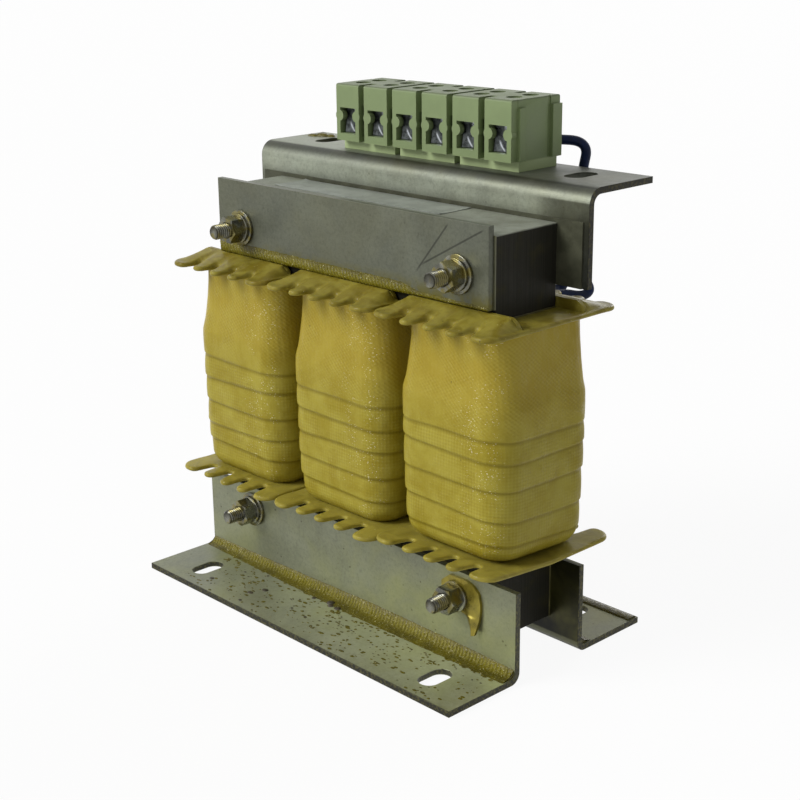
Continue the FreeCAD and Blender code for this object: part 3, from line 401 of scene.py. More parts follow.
def olive_resin(name, colour, pale):
    """Hardened resin: glossy olive with lumps, a painted highlight on its ribs' crests and painted
    glints.
    """
    m = Finish(name, Roughness=0.20, Transmission_Weight=0.10, IOR=1.5, Specular_IOR_Level=0.22)
    lumps = m.noise(0.8, 4, 0.65)
    base = m.blend(m.step(m.noise(5, 4), 0.35, 0.65), colour, shade(colour, 0.62))
    # Painted highlight on the ribs' crests
    base = m.tint(base, m.mark("rib"), 0.70, pale)
    base = m.tint(base, m.step(lumps, 0.60, 0.70), 0.5, tone(158, 148, 44))
    # Painted glints: small painted highlights
    painted_glint = m.times(m.step(m.noise(0.55, 2), 0.66, 0.70), m.step(m.noise(4, 2), 0.44, 0.54))
    base = m.tint(base, painted_glint, 0.75, tone(238, 232, 170))
    return m.done(base, m.step(lumps, 0.3, 0.7, 0.14, 0.32), m.bump(lumps, 0.30))


def plain_finish(name, colour, roughness=0.5, metallic=0.0, size=3.0, contrast=0.2, relief=0.02,
                 gloss=0.5):
    """One tone with a cloudy variation and a fine relief, for small and inner pieces."""
    m = Finish(name, Metallic=metallic, Specular_IOR_Level=gloss)
    cloud = m.noise(size, 4, 0.6)
    base = m.blend(m.step(cloud, 0.35, 0.65), shade(colour, 1 - contrast),
                   shade(colour, 1 + contrast))
    rough = m.step(cloud, 0.3, 0.7, roughness * 0.85, min(1.0, roughness * 1.15))
    return m.done(base, rough, m.bump(m.noise(size * 0.2, 3), relief))


def dark_leaf(name):
    """Dull steel leaf whose gleam attribute paints highlights on it."""
    m = Finish(name, Metallic=0.75, Roughness=0.30)
    cloud = m.noise(1.6, 4, 0.6)
    base = m.blend(m.step(cloud, 0.35, 0.65), tone(52, 56, 56), tone(96, 101, 101))
    # Painted highlights where the gleam attribute is 1
    base = m.blend(m.mark("painted_gleam"), base, tone(214, 219, 226))
    return m.done(base, m.step(cloud, 0.3, 0.7, 0.24, 0.40), m.bump(m.noise(0.5, 3), 0.02))


def blank_paper(name):
    """Aged bare label, its print left off: pale, blotchy and slightly wavy."""
    m = Finish(name, Coat_Weight=0.25, Coat_Roughness=0.2)
    cloud = m.noise(7, 5, 0.62)
    base = m.blend(m.step(cloud, 0.35, 0.65), tone(118, 123, 116), tone(140, 145, 138))
    base = m.tint(base, m.step(m.noise(2.4, 4, 0.6, 0.5), 0.58, 0.70), 0.35, tone(96, 97, 86))
    return m.done(base, 0.42, m.bump(cloud, 0.12))


# Meshes from arrays

SHARP_ANGLE, ROUNDED_ANGLE = 35.0, 28.0


def placed(name, data):
    """A new object in the scene, at the origin."""
    made = bpy.data.objects.new(name, data)
    bpy.context.scene.collection.objects.link(made)
    return made


def piece(name, parts, finish, sharp=SHARP_ANGLE, replaced=(), wrap=None, marks=None):
    """One object from parts of (points in millimetres, faces).

    wrap holds a map value per point, whose first axis closes on itself after GIRTH, and
    marks a named number per point. Edges sharper than sharp degrees stay sharp.
    """
    points, faces, shift = [], [], 0
    for spots, corners in parts:
        points.append(np.asarray(spots, float))
        faces += [[c + shift for c in face] for face in corners]
        shift += len(spots)
    mesh = bpy.data.meshes.new(name)
    mesh.from_pydata((np.concatenate(points) * MM).tolist(), [], faces)
    mesh.validate()
    if wrap is not None:
        layer = mesh.uv_layers.new(name="wrap")
        corners = np.empty(len(mesh.loops), np.int32)
        mesh.loops.foreach_get("vertex_index", corners)
        spots = wrap[corners]
        starts = np.array([p.loop_start for p in mesh.polygons])
        widest = np.maximum.reduceat(spots[:, 0], starts)
        sizes = np.diff(np.r_[starts, len(corners)])
        behind = spots[:, 0] < np.repeat(widest, sizes) - GIRTH / 2
        spots[behind, 0] += GIRTH
        layer.data.foreach_set("uv", (spots * MM).astype(np.float32).ravel())
    for label, values in (marks or {}).items():
        layer = mesh.attributes.new(label, "FLOAT", "POINT")
        layer.data.foreach_set("value", values.astype(np.float32))
    made = placed(name, mesh)
    mesh.materials.append(finish)
    mesh.shade_smooth()
    mesh.set_sharp_from_angle(angle=math.radians(sharp))
    if replaced:
        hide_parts(*replaced)
    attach(made, "root")


def places(x, y, z):
    """Points whose coordinates are arrays or numbers, spread to one shape."""
    return np.stack(np.broadcast_arrays(x, y, z), -1)


def net(rows, columns, around=True):
    """Corner array of a grid of points, rows by columns, closed round its rows where around."""
    r = np.arange(rows - 1)[:, None]
    c = np.arange(columns if around else columns - 1)[None, :]
    after = (c + 1) % columns
    corners = np.stack([r * columns + c, r * columns + after,
                        (r + 1) * columns + after, (r + 1) * columns + c], -1)
    return corners.reshape(-1, 4)


def outwards(points, faces):
    """Turns all faces round where the enclosed volume, the sum of a.(b x c)/6, is negative."""
    total = 0.0
    for face in faces:
        a = points[face[0]]
        for i in range(1, len(face) - 1):
            total += np.dot(a, np.cross(points[face[i]], points[face[i + 1]]))
    return faces if total > 0 else [list(face)[::-1] for face in faces]


def tube(rings):
    """Closed skin over an (m, n, 3) array of rings, with a fan on each end."""
    rows, columns = rings.shape[:2]
    first, last = rows * columns, rows * columns + 1
    points = np.concatenate([rings.reshape(-1, 3), rings[0].mean(0)[None],
                             rings[-1].mean(0)[None]])
    sides = net(rows, columns)
    i = np.arange(columns)
    after, end = (i + 1) % columns, (rows - 1) * columns
    start_fan = np.stack([np.full(columns, first), after, i], -1)
    end_fan = np.stack([np.full(columns, last), end + i, end + after], -1)
    flux = sum(np.einsum("ij,ij->i", points[a], np.cross(points[b], points[c])).sum()
               for a, b, c in (sides[:, :3].T, sides[:, [0, 2, 3]].T, start_fan.T, end_fan.T))
    faces = sides.tolist() + start_fan.tolist() + end_fan.tolist()
    return points, faces if flux >= 0 else [face[::-1] for face in faces]


def softened(node, width, finish):
    """A CAD node's own form with its edges rounded, width wide, in place of the node."""
    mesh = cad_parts[node].data.copy()
    work = bmesh.new()
    work.from_mesh(mesh)
    bmesh.ops.remove_doubles(work, verts=work.verts, dist=2e-6)
    bmesh.ops.dissolve_limit(work, angle_limit=math.radians(1.5), verts=work.verts,
                             edges=work.edges)
    work.to_mesh(mesh)
    work.free()
    mesh.materials.clear()
    mesh.materials.append(finish)
    made = placed(node + "_form", mesh)
    mesh.shade_smooth()
    mesh.set_sharp_from_angle(angle=math.radians(SHARP_ANGLE))
    rounding = made.modifiers.new("edges", "BEVEL")
    rounding.width, rounding.segments = width * MM, 2
    rounding.limit_method, rounding.angle_limit = "ANGLE", math.radians(ROUNDED_ANGLE)
    rounding.harden_normals = True
    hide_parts(node)
    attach(made, "root")


def dress(finish, *nodes):
    """Gives CAD nodes a better material and leaves their form as it is."""
    for node in nodes:
        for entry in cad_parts[node].material_slots:
            entry.material = finish


def waves(t, seed, count=6, low=1, high=9):
    """Smooth closed variation about 0: count sines of whole frequencies, drawn by seed."""
    draw = np.random.default_rng(seed)
    total = np.zeros_like(t)
    for k in draw.integers(low, high, count):
        total += draw.uniform(0.4, 1.0) / math.sqrt(k) * np.sin(
            TURN * k * t + draw.uniform(0, TURN))
    return total / math.sqrt(count)


# Camera, at the photograph's viewing angle: the picture is 800 x 800

VIEW_TURN, VIEW_RISE, VIEW_ROLL = (math.radians(v) for v in (47.999, 17.609, -1.157))
VIEW_TARGET, VIEW_DISTANCE = (-12.993, 0.0, 69.05), 505.525
PICTURE, SENSOR, FOCAL_PIXELS = 800, 36.0, 1513.721
CENTRE_PIXEL = (353.76, 393.259)


def set_camera():
    """Camera on a sphere about a target, turned by a small roll.

    back = (sin a cos e, -cos a cos e, sin e), right = (cos a, sin a, 0), up = back x right.
    """
    back = Vector((math.sin(VIEW_TURN) * math.cos(VIEW_RISE),
                   -math.cos(VIEW_TURN) * math.cos(VIEW_RISE), math.sin(VIEW_RISE)))
    right = Vector((math.cos(VIEW_TURN), math.sin(VIEW_TURN), 0))
    up = back.cross(right)
    right, up = (math.cos(VIEW_ROLL) * right + math.sin(VIEW_ROLL) * up,
                 math.cos(VIEW_ROLL) * up - math.sin(VIEW_ROLL) * right)
    lens = bpy.data.cameras.new("camera")
    lens.sensor_width = SENSOR
    lens.lens = FOCAL_PIXELS * SENSOR / PICTURE
    lens.shift_x = (PICTURE / 2 - CENTRE_PIXEL[0]) / PICTURE
    lens.shift_y = (CENTRE_PIXEL[1] - PICTURE / 2) / PICTURE
    lens.clip_start, lens.clip_end = 0.01, 20
    made = placed("camera", lens)
    turn = Matrix((right, up, back)).transposed().to_4x4()
    place = Vector(VIEW_TARGET) * MM + back * (VIEW_DISTANCE * MM)
    made.matrix_world = Matrix.Translation(place) @ turn
    bpy.context.scene.camera = made


# Coils

def outline(share, half_x, half_y, radius):
    """Place and outward normal on a rounded rectangle at a share of its way round.

    Sides are straight and corners are quarter circles. The way round starts in the middle
    of the +X side and turns from X to Y. Its second half is the first one turned by half a
    turn. All arguments may be arrays of one shape.
    """
    side_x, side_y = half_x - radius, half_y - radius
    arc = radius * math.pi / 2
    half_way = 2 * (side_x + side_y + arc)
    way = share % 1.0 * 2 * half_way
    flip = np.where(way >= half_way, -1.0, 1.0)
    way = np.where(way >= half_way, way - half_way, way)
    past_side = way - side_y - arc
    past_top = past_side - 2 * side_x
    angle = (np.clip((way - side_y) / radius, 0, math.pi / 2)
             + np.clip(past_top / radius, 0, math.pi / 2))
    centre_x = side_x - np.clip(past_side, 0, 2 * side_x)
    centre_y = np.minimum(way, side_y) - np.clip(past_top - arc, 0, None)
    nx, ny = np.cos(angle), np.sin(angle)
    return (flip * (centre_x + radius * nx), flip * (centre_y + radius * ny),
            flip * nx, flip * ny)


def taped_coil(name, index, seams, finish, lean):
    """Lapped tape round a coil: a rounded rectangle carried up, drawn in by d(u, z).

    d = taper + neck + foot - lap edges - slow unevenness - folds - ripple. Each lap stands
    0.30 to 0.44 proud past its lower edge, the seam, where it rises within 0.75, and thins out
    upwards over its width, with a swell of 0.16 in its middle. Seams rise and fall with the
    way round u by a sine, as laps of a slanted tape do. The foot draws in the lower end and
    the neck the upper one, where the tape has small folds. The front of the lower end is
    lifted by lean, dying out upwards.
    """
    rows, columns = 230, 300
    z = np.linspace(COIL_FLOOR, COIL_ROOF, rows)
    u = np.linspace(0, 1, columns, endpoint=False)
    zz, uu = np.meshgrid(z, u, indexing="ij")
    height = (zz - COIL_FLOOR) / (COIL_ROOF - COIL_FLOOR)
    taper = 1.25 * np.clip(1 - height / 0.74, 0, 1) ** 2
    drawn = np.clip((height - 0.68) / 0.32, 0, 1)
    neck = (1.95 - 0.45 * np.cos(TURN * uu)) * (1 - (1 - drawn) ** 1.7)
    foot = 2.2 * np.clip(1 - height / 0.06, 0, 1) ** 2
    draw = np.random.default_rng(40 + index)
    lap = np.zeros_like(zz)
    seam_shadow = np.zeros_like(zz)
    edge, last_width = 0.75, 12.0
    widths = [after - seam for seam, after in zip(seams, seams[1:])] + [last_width]
    for k, (seam, width, depth) in enumerate(zip(seams, widths, (0.42, 0.44, 0.40, 0.38, 0.30))):
        tilt = draw.uniform(0.3, 0.8)
        line = seam + tilt * np.sin(TURN * (uu + draw.uniform(0, 1)))
        line = line + 0.25 * waves(uu, 300 + 17 * index + k)
        over = zz - line
        rise = np.clip(over / edge + 0.5, 0, 1)
        lap += depth * rise * rise * (3 - 2 * rise)
        lap -= depth * np.clip((over - edge) / width, 0, 1)
        # Painted shadow line just under each lap's edge, handed to the finish as the seam mark
        seam_shadow = np.maximum(seam_shadow, np.exp(-((over + 0.45) / 0.62) ** 2))
        lap += 0.16 * np.sin(math.pi * np.clip(over / width, 0, 1)) * (over > 0) * (over < width)
    slow = 0.30 * waves(uu, 70 + index) * np.sin(math.pi * height)
    slow += (0.20 * waves(uu + 0.35 * height, 90 + index, 5, 2, 7)
             * np.sin(math.pi * height * 1.7) ** 2)
    folds = 0.20 * np.sin(TURN * (uu * 26 + 3.0 * height)) * np.clip(
        (height - 0.86) / 0.12, 0, 1) * (0.6 + 0.4 * waves(uu, 110 + index))
    ripple = 0.035 * np.sin(TURN * (uu * 90 + height * 4)) * (height > 0.62)
    inset = taper + neck + foot - lap - slow * 0.6 - folds - ripple
    x, y, nx, ny = outline(uu, TAPE_HALF_X - inset, TAPE_HALF_Y - inset,
                           TAPE_CORNER - 0.5 * inset)
    x = x + LIMB_PITCH * (index - 1)
    zz = zz + lean * np.clip(0.5 - y / 42, 0, 1) * (1 - height) ** 1.5
    lower, upper = (places(x[r] - nx[r] * s, y[r] - ny[r] * s, zz[r])[None]
                    for r, s in ((0, 3.6), (-1, 1.8)))
    wrap = np.stack([np.tile(u * GIRTH, (rows + 2, 1)),
                     np.repeat(np.r_[z[0], z, z[-1]][:, None], columns, 1)], -1)
    marks = np.r_[np.zeros(columns), seam_shadow.ravel(), np.zeros(columns + 2)]
    piece("coil_tape_" + name, [tube(np.concatenate([lower, places(x, y, zz), upper]))], finish,
          sharp=60, replaced=["tape_wrap_" + name],
          wrap=np.concatenate([wrap.reshape(-1, 2), np.zeros((2, 2))]), marks={"seam": marks})


def winding_form(name, index, finish):
    """Copper under the tape: its layers' edges round a rounded rectangle, drawn in at both ends.

    The turns stand out by 0.15 |sin(pi z / 1.8)|.
    """
    z = np.linspace(COIL_FLOOR + 2.8, COIL_ROOF - 1.4, 260)
    u = np.linspace(0, 1, 72, endpoint=False)
    zz, uu = np.meshgrid(z, u, indexing="ij")
    height = (zz - COIL_FLOOR) / (COIL_ROOF - COIL_FLOOR)
    inset = 5.4 * np.clip(1 - height / 0.12, 0, 1) + 2.4 * np.clip((height - 0.6) / 0.4, 0, 1)
    inset = inset - 0.15 * np.abs(np.sin(math.pi * zz / 1.8))
    x, y = outline(uu, COPPER_HALF_X - inset, COPPER_HALF_Y - inset,
                   COPPER_CORNER - 0.5 * inset)[:2]
    piece("winding_form_" + name, [tube(places(x + LIMB_PITCH * (index - 1), y, zz))], finish,
          sharp=50, replaced=["winding_" + name])


def nearest_tongue(x):
    """Number of the nearest tongue, from -2 to 2, and the way aside from its middle."""
    number = np.clip(np.round(x / TONGUE_PITCH), -2, 2)
    return (number + 2).astype(int), np.abs(x - number * TONGUE_PITCH)


def tongue_reach(x, ends, gap_root):
    """How far a flange's comb edge lies from the middle at each x, for five tongues' ends.

    About a tongue's middle line it is end - r + sqrt(r^2 - a^2) with r 2.5 and a the way
    aside, then a straight fall to the gap's root arc, root + g - sqrt(g^2 - b^2) about the
    gap's middle. The outer side of the two end tongues is one arc of radius 5.
    """
    number, aside = nearest_tongue(x)
    end = np.asarray(ends)[number]
    foot = TONGUE_PITCH / 2 - GAP_HALF
    arc = end - TONGUE_TIP + np.sqrt(np.clip(TONGUE_TIP ** 2 - aside ** 2, 0, None))
    share = np.clip((aside - TONGUE_TIP) / (foot - TONGUE_TIP), 0, 1)
    fall = (end - TONGUE_TIP) * (1 - share) + (gap_root + GAP_HALF) * share
    off = np.clip(aside - TONGUE_PITCH / 2, -GAP_HALF, GAP_HALF)
    root = gap_root + GAP_HALF - np.sqrt(GAP_HALF ** 2 - off ** 2)
    reach = np.where(aside <= TONGUE_TIP, arc, np.where(aside <= foot, fall, root))
    past = np.clip(np.abs(x) - FLANGE_HALF_X + FLANGE_CORNER, 0, FLANGE_CORNER)
    corner = end - FLANGE_CORNER + np.sqrt(FLANGE_CORNER ** 2 - past ** 2)
    return np.where(np.abs(x) > 2 * TONGUE_PITCH, corner, reach)


def comb_grid(ends, gap_root):
    """Columns x of a flange's grid, its y values row by row, and its outer edge's points."""
    swing = np.sin(np.radians(np.linspace(-90, 90, 13)))
    gaps = np.array([2.62, 2.78, 2.95, 3.11, 3.35, 3.75, 4.2, 4.65])
    near = np.r_[TONGUE_TIP * swing, gaps, -gaps]
    x = (np.arange(-2, 3)[:, None] * TONGUE_PITCH + near[None]).ravel()
    rim = FLANGE_HALF_X - FLANGE_CORNER + FLANGE_CORNER * np.sin(
        np.radians(np.linspace(0, 90, 11)))
    x = x[np.abs(x) < 2 * TONGUE_PITCH + 0.01]
    x = np.unique(np.round(np.r_[x, rim, -rim, HOLE_X, -HOLE_X], 3))
    v = np.array([1, 0.985, 0.96, 0.92, 0.87, 0.80, 0.72, 0.62, 0.5, 0.38, 0.25, 0.12, 0])[:, None]
    front, rear = (tongue_reach(x, end, gap_root) for end in ends)
    y = np.concatenate([-(COMB_INNER + (front - COMB_INNER) * v),
                        np.repeat(np.array([-HOLE_Y, -6, 0, 6, HOLE_Y])[:, None], len(x), 1),
                        COMB_INNER + (rear - COMB_INNER) * v[::-1]])
    right = np.column_stack([np.full(12, x[-1]), np.linspace(-front[-1], rear[-1], 12)])
    left = np.column_stack([np.full(12, x[0]), np.linspace(rear[0], -front[0], 12)])
    return x, y, np.concatenate([np.column_stack([x, -front]), right,
                                 np.column_stack([x, rear])[::-1], left])


def way_to(edge, spots):
    """Shortest way from each of the spots to a closed line through the edge's points."""
    along = np.roll(edge, -1, 0) - edge
    length = np.maximum((along ** 2).sum(-1), 1e-9)
    t = np.clip(((spots[:, None] - edge[None]) * along[None]).sum(-1) / length[None], 0, 1)
    foot = edge[None] + t[..., None] * along[None]
    return np.linalg.norm(spots[:, None] - foot, axis=-1).min(1)


def comb_flange(low, ends, lifts, web, lean):
    """Bobbin flange on a grid whose outer rows follow the comb edges.

    Its half thickness is T sqrt(1 - (1 - d / r)^2) within r of the edge, d being the way to
    it, which rounds every tongue. The upper face adds a web that slopes from the rim to
    the tongues, a crown across each tongue and a groove in line with each gap. Tongues
    bend by their lifts times the power 1.5 of their reach, and the front rises by lean.
    """
    x, y, edge = comb_grid(ends, 22.0 if web else 20.6)
    xx = np.broadcast_to(x[None], y.shape)
    flat = np.stack([xx, y], -1)
    away = way_to(edge, flat.reshape(-1, 2)).reshape(y.shape)
    swell = np.sqrt(1 - (1 - np.clip(away / 0.75, 0, 1)) ** 2)
    reach = np.abs(y)
    number, aside = nearest_tongue(xx)
    outer = np.abs(xx) > 2 * TONGUE_PITCH
    across = np.where(outer, 0.0, aside / 3.10)
    crown = 0.20 * np.clip(1 - across ** 2, 0, 1) * np.clip((reach - 17) / 4, 0, 1)
    slope = (web * np.clip((26.0 - reach) / 10.7, 0, 1)
             * np.clip((23.2 - np.abs(xx)) / 3.0, 0, 1) ** 0.6)
    slope = np.where(reach < COMB_INNER, 0, slope)
    groove = (0.60 * np.exp(-((aside - TONGUE_PITCH / 2) / 1.5) ** 2)
              * np.clip((reach - 16.5) / 4, 0, 1))
    groove = np.where(outer, 0, np.minimum(groove, slope * 0.9))
    lift = (np.asarray(lifts)[(y > 0).astype(int), number]
            * np.clip((reach - 20) / 9, 0, 1) ** 1.5)
    lift = lift + lean * np.clip(-y / 29, 0, 1)
    half = FLANGE_THICK / 2
    top = low + half + (half + slope + crown - groove) * swell + lift
    bottom = low + half - half * swell + lift
    points = np.concatenate([places(xx, y, top).reshape(-1, 3),
                             places(xx, y, bottom).reshape(-1, 3)])
    rows, columns = y.shape
    count = rows * columns
    upper = net(rows, columns, around=False)
    middle = np.abs(flat.reshape(-1, 2)[upper].mean(1))
    upper = upper[(middle[:, 0] > HOLE_X) | (middle[:, 1] > HOLE_Y)]
    left, right = np.searchsorted(x, -HOLE_X), np.searchsorted(x, HOLE_X)
    near_row, far_row = 13, 17
    loop = ([near_row * columns + c for c in range(left, right)]
            + [r * columns + right for r in range(near_row, far_row)]
            + [far_row * columns + c for c in range(right, left, -1)]
            + [r * columns + left for r in range(far_row, near_row, -1)])
    faces = upper.tolist() + (upper[:, ::-1] + count).tolist()
    faces += [[p, q, q + count, p + count] for p, q in zip(loop, loop[1:] + loop[:1])]
    # The two skins meet along the outer edge, so its points are shared
    border = np.ones((rows, columns), bool)
    border[1:-1, 1:-1] = False
    shared = np.flatnonzero(border.ravel())
    rim_of = np.arange(2 * count)
    rim_of[shared + count] = shared
    return points, [[int(rim_of[c]) for c in face] for face in faces]


def flange_rim(base, grow, half_length, tall, y, seed):
    """Rim beside a yoke on a flange's face at base, rounded on its crest and at both ends.

    grow is 1 where the rim stands up and -1 where it hangs down.
    """
    t = np.linspace(-half_length, half_length, 60)[:, None]
    top = tall * np.clip((half_length - np.abs(t)) / 3.0, 0, 1) ** 0.5
    top = np.maximum(top, 0.02) * (1 - 0.02 * (1 + waves(t / 46 + 0.5, seed)))
    turn = np.linspace(0, math.pi, 9)
    ring_y = np.r_[y + RIM_HALF_THICK * np.cos(turn), y - RIM_HALF_THICK, y + RIM_HALF_THICK]
    ring_z = np.r_[np.clip(np.sin(turn) * 1.6, 0, 1), -0.15, -0.15]
    return tube(places(t, ring_y, base + grow * np.where(ring_z > 0, ring_z * top, ring_z)))


def bobbin(name, index, finish, front_lifts, lean):
    """Comb flanges above and below, their rims beside the yokes, and the tube between them.

    The lower rims are shorter and flatter, and the front one is lifted with its leaning flange.
    """
    parts = []
    for level, low in enumerate((LOWER_FLANGE_Z, UPPER_FLANGE_Z)):
        seed = 500 + 10 * index + level
        draw = np.random.default_rng(seed)
        ends = 29.4 - draw.uniform(0.0, 0.6, (2, 5))
        lifts = draw.uniform(-0.35, 0.15, (2, 5))
        lifts[0] += front_lifts[level]
        web, swing = (WEB_RISE, 0.0) if level else (0.0, lean)
        base, grow, size = (low + FLANGE_THICK, 1, UPPER_RIM) if level else (low, -1, LOWER_RIM)
        parts.append(comb_flange(low, ends, lifts, web, swing))
        for hand, raised in ((-1, 0.49 * swing), (1, 0)):
            parts.append(flange_rim(base + raised, grow, *size, RIM_Y * hand, seed + hand))
    wall_x = np.array([-TUBE_HALF_X, TUBE_HALF_X, TUBE_HALF_X, -TUBE_HALF_X])
    wall_y = np.array([-TUBE_HALF_Y, -TUBE_HALF_Y, TUBE_HALF_Y, TUBE_HALF_Y])
    levels = np.array([[LOWER_FLANGE_Z + 0.4], [UPPER_FLANGE_Z + 1.2]])
    parts.append(tube(places(wall_x, wall_y, levels)))
    parts = [(p + [LIMB_PITCH * (index - 1), 0, 0], f) for p, f in parts]
    piece("comb_bobbin_" + name, parts, finish, sharp=60,
          replaced=["bobbin_" + name])


# Fasteners

def lathe(profile, x, z, turn_by):
    """Rings of (y, radius, pull) about a line along Y through (x, z), with a hexagon's flats.

    A radius above half of the hexagon's size s is held to its side, (s / 2) / cos(a), and the
    side is drawn back by pull (r - s / 2) tan 30 at both ends, which makes the crown's arcs.
    """
    turn = np.linspace(0, TURN, 72, endpoint=False)
    a = (turn + math.pi / 6) % (math.pi / 3) - math.pi / 6
    side = ACROSS_FLATS / 2 / np.cos(a)
    turn = turn + turn_by
    rings = []
    for y, radius, pull in profile:
        flat = radius > ACROSS_FLATS / 2
        r = side if flat else radius
        back = (side - ACROSS_FLATS / 2) * math.tan(math.radians(30)) * pull if flat else 0
        rings.append(places(x + r * np.cos(turn), y + back, z + r * np.sin(turn)))
    return tube(np.array(rings))


def threaded_shank(x, z):
    """Shank along -Y with a turned thread on its free end, and its share of groove.

    r = R - h clip(1.25 |2 frac(y / pitch + turn) - 1| - 0.12) on the thread, R before it, and
    45 degrees off the point.
    """
    rows, columns = int(abs(BOLT_END - THREAD_START) / THREAD_PITCH * 9), 40
    y = np.r_[HEAD_FACE + 0.5, THREAD_START + 0.01, np.linspace(THREAD_START, BOLT_END, rows)]
    turn = np.linspace(0, TURN, columns, endpoint=False)
    yy, tt = np.meshgrid(y, turn, indexing="ij")
    phase = (yy / THREAD_PITCH + tt / TURN) % 1.0
    depth = THREAD_DEPTH * np.clip(1.25 * np.abs(2 * phase - 1) - 0.12, 0, 1)
    depth = np.where(yy > THREAD_START, 0.0, depth)
    point = np.clip(0.55 - (yy - BOLT_END), 0, None)
    r = BOLT_RADIUS - np.maximum(depth, point)
    rings = places(x + r * np.cos(tt), yy, z + r * np.sin(tt))
    return tube(rings), np.r_[np.clip(depth / 0.36, 0, 1).ravel(), 0, 0]


def ring_washer(x, z, ahead, radius):
    """Flat ring with a stamped, rounded edge, whose near face lies ahead of the middle."""
    e, columns = 0.22, 56
    y0, y1 = -ahead, -ahead - WASHER_THICK
    profile = [(y0, WASHER_BORE), (y0, radius - e), (y0 - e * 0.4, radius - e * 0.25),
               (y0 - e, radius), (y1 + e, radius), (y1 + e * 0.4, radius - e * 0.25),
               (y1, radius - e), (y1, WASHER_BORE)]
    turn = np.linspace(0, TURN, columns, endpoint=False)
    y, r = (np.array(values)[:, None] for values in zip(*profile))
    points = places(x + r * np.cos(turn), y, z + r * np.sin(turn)).reshape(-1, 3)
    faces = net(len(profile), columns).tolist()
    last = (len(profile) - 1) * columns
    faces += [[last + i, last + (i + 1) % columns, (i + 1) % columns, i] for i in range(columns)]
    return points, outwards(points, faces)


def clamp_fasteners(zinc):
    """Bolts with threaded ends, nuts and washers on the four corners of the core."""
    corners = [(s * BOLT_X, z) for z in (LOWER_BOLT_Z, UPPER_BOLT_Z) for s in (-1, 1)]
    head = [(HEAD_FACE, 2.6, 0), (HEAD_FACE, 9, 0), (HEAD_TOP, 9, -1), (HEAD_TOP, 3.7, 0)]
    nut = [(NUT_FACE, 2.3, 0), (NUT_FACE, 3.85, 0), (NUT_FACE, 9, -0.35), (NUT_TOP, 9, 1),
           (NUT_TOP, 3.75, 0), (NUT_TOP, 2.75, 0), (NUT_TOP + 0.6, 2.3, 0)]
    bolts, nuts, wide, thin, rear, grooves = [], [], [], [], [], []
    for (x, z), turn in zip(corners, (0.20, 0.50, 0.35, 0.12)):
        bolts.append(lathe(head, x, z, turn * 2))
        shank, groove = threaded_shank(x, z)
        grooves += [np.zeros(len(bolts[-1][0])), groove]
        bolts.append(shank)
        nuts.append(lathe(nut, x, z, turn))
        if (x, z) != (BOLT_X, LOWER_BOLT_Z):
            wide.append(ring_washer(x, z, WEB_BACK, 6.0))
        thin.append(ring_washer(x, z, WEB_BACK + WASHER_THICK, 5.0))
        rear.append(ring_washer(x, z, -WEB_BACK - WASHER_THICK, 5.0))
    piece("bolt_set", bolts, zinc, sharp=40, replaced=["clamp_bolts"],
          marks={"groove": np.concatenate(grooves)})
    piece("nut_set", nuts, zinc, sharp=28, replaced=["clamp_nuts"])
    piece("wide_washer_set", wide, zinc, replaced=["wide_front_washers"])
    piece("washer_set", thin, zinc, replaced=["front_washers"])
    piece("rear_washer_set", rear, zinc, replaced=["rear_washers"])


# Resin, tag, leads and label

def ribs_of(x, rise, pitch, lean, seed):
    """Rounded ribs |sin(pi (x + lean rise + shake) / pitch)|^0.8 of slowly changing height."""
    share = x / WAVE_SPAN
    height = 0.72 + 0.28 * waves(share, seed, 8, 6, 40)
    shake = 0.30 * waves(share, seed + 1, 8, 20, 70)
    return height * np.abs(np.sin(math.pi * (x + lean * rise + shake) / pitch)) ** 0.8


def ribbed_skin(name, rings, back, rib, finish):
    """Resin from open rings, closed by the points of back, with its ribs marked."""
    rings = np.concatenate([rings] + [places(*spots) for spots in back], 1)
    marks = np.concatenate([rib, np.zeros((len(rib), len(back)))], 1)
    piece(name, [tube(rings)], finish, sharp=80,
          marks={"rib": np.r_[marks.ravel(), 0, 0]})


def foot_resin(name, hand, finish):
    """Resin in a foot's corner: a hollow fillet, ribbed where it climbs the web.

    From the web down, share a from 0 to 1: out = w a^1.5 and up = h (1 - a)^1.8, with w
    and h changing along x, and ribs on the upper part.
    """
    x = np.linspace(-FOOT_HALF + 0.5, FOOT_HALF - 0.5, 1150)[:, None]
    a = np.linspace(0, 1, 13)[None]
    share = x / WAVE_SPAN
    climb = (np.interp(x, [-74, -25, 12, 55, 74], [2.2, 2.8, 3.6, 3.2, 2.6])
             + 0.35 * waves(share, 31, 9, 5, 50))
    spread = (np.interp(x, [-74, -18, 9, 73], [3.8, 5.6, 6.2, 5.2])
              + 0.9 * waves(share, 33, 10, 6, 60))
    out, up = spread * a ** 1.5, climb * (1 - a) ** 1.8
    rib = ribs_of(x, up, 1.4, 0.6, 35 + hand) * np.sin(math.pi * np.clip(a / 0.66, 0, 1))
    lumps = 0.16 * waves(share + a * 0.3, 37, 12, 30, 90) * np.sin(math.pi * a)
    out, up = out + 0.34 * rib + lumps * 0.5, up + 0.26 * rib + lumps
    rings = places(x, hand * (WEB_BACK + out), SHEET + np.maximum(up, -0.03))
    back = [(x, hand * (WEB_BACK - 0.05), SHEET - 0.05)]
    ribbed_skin(name, rings, back, rib, finish)


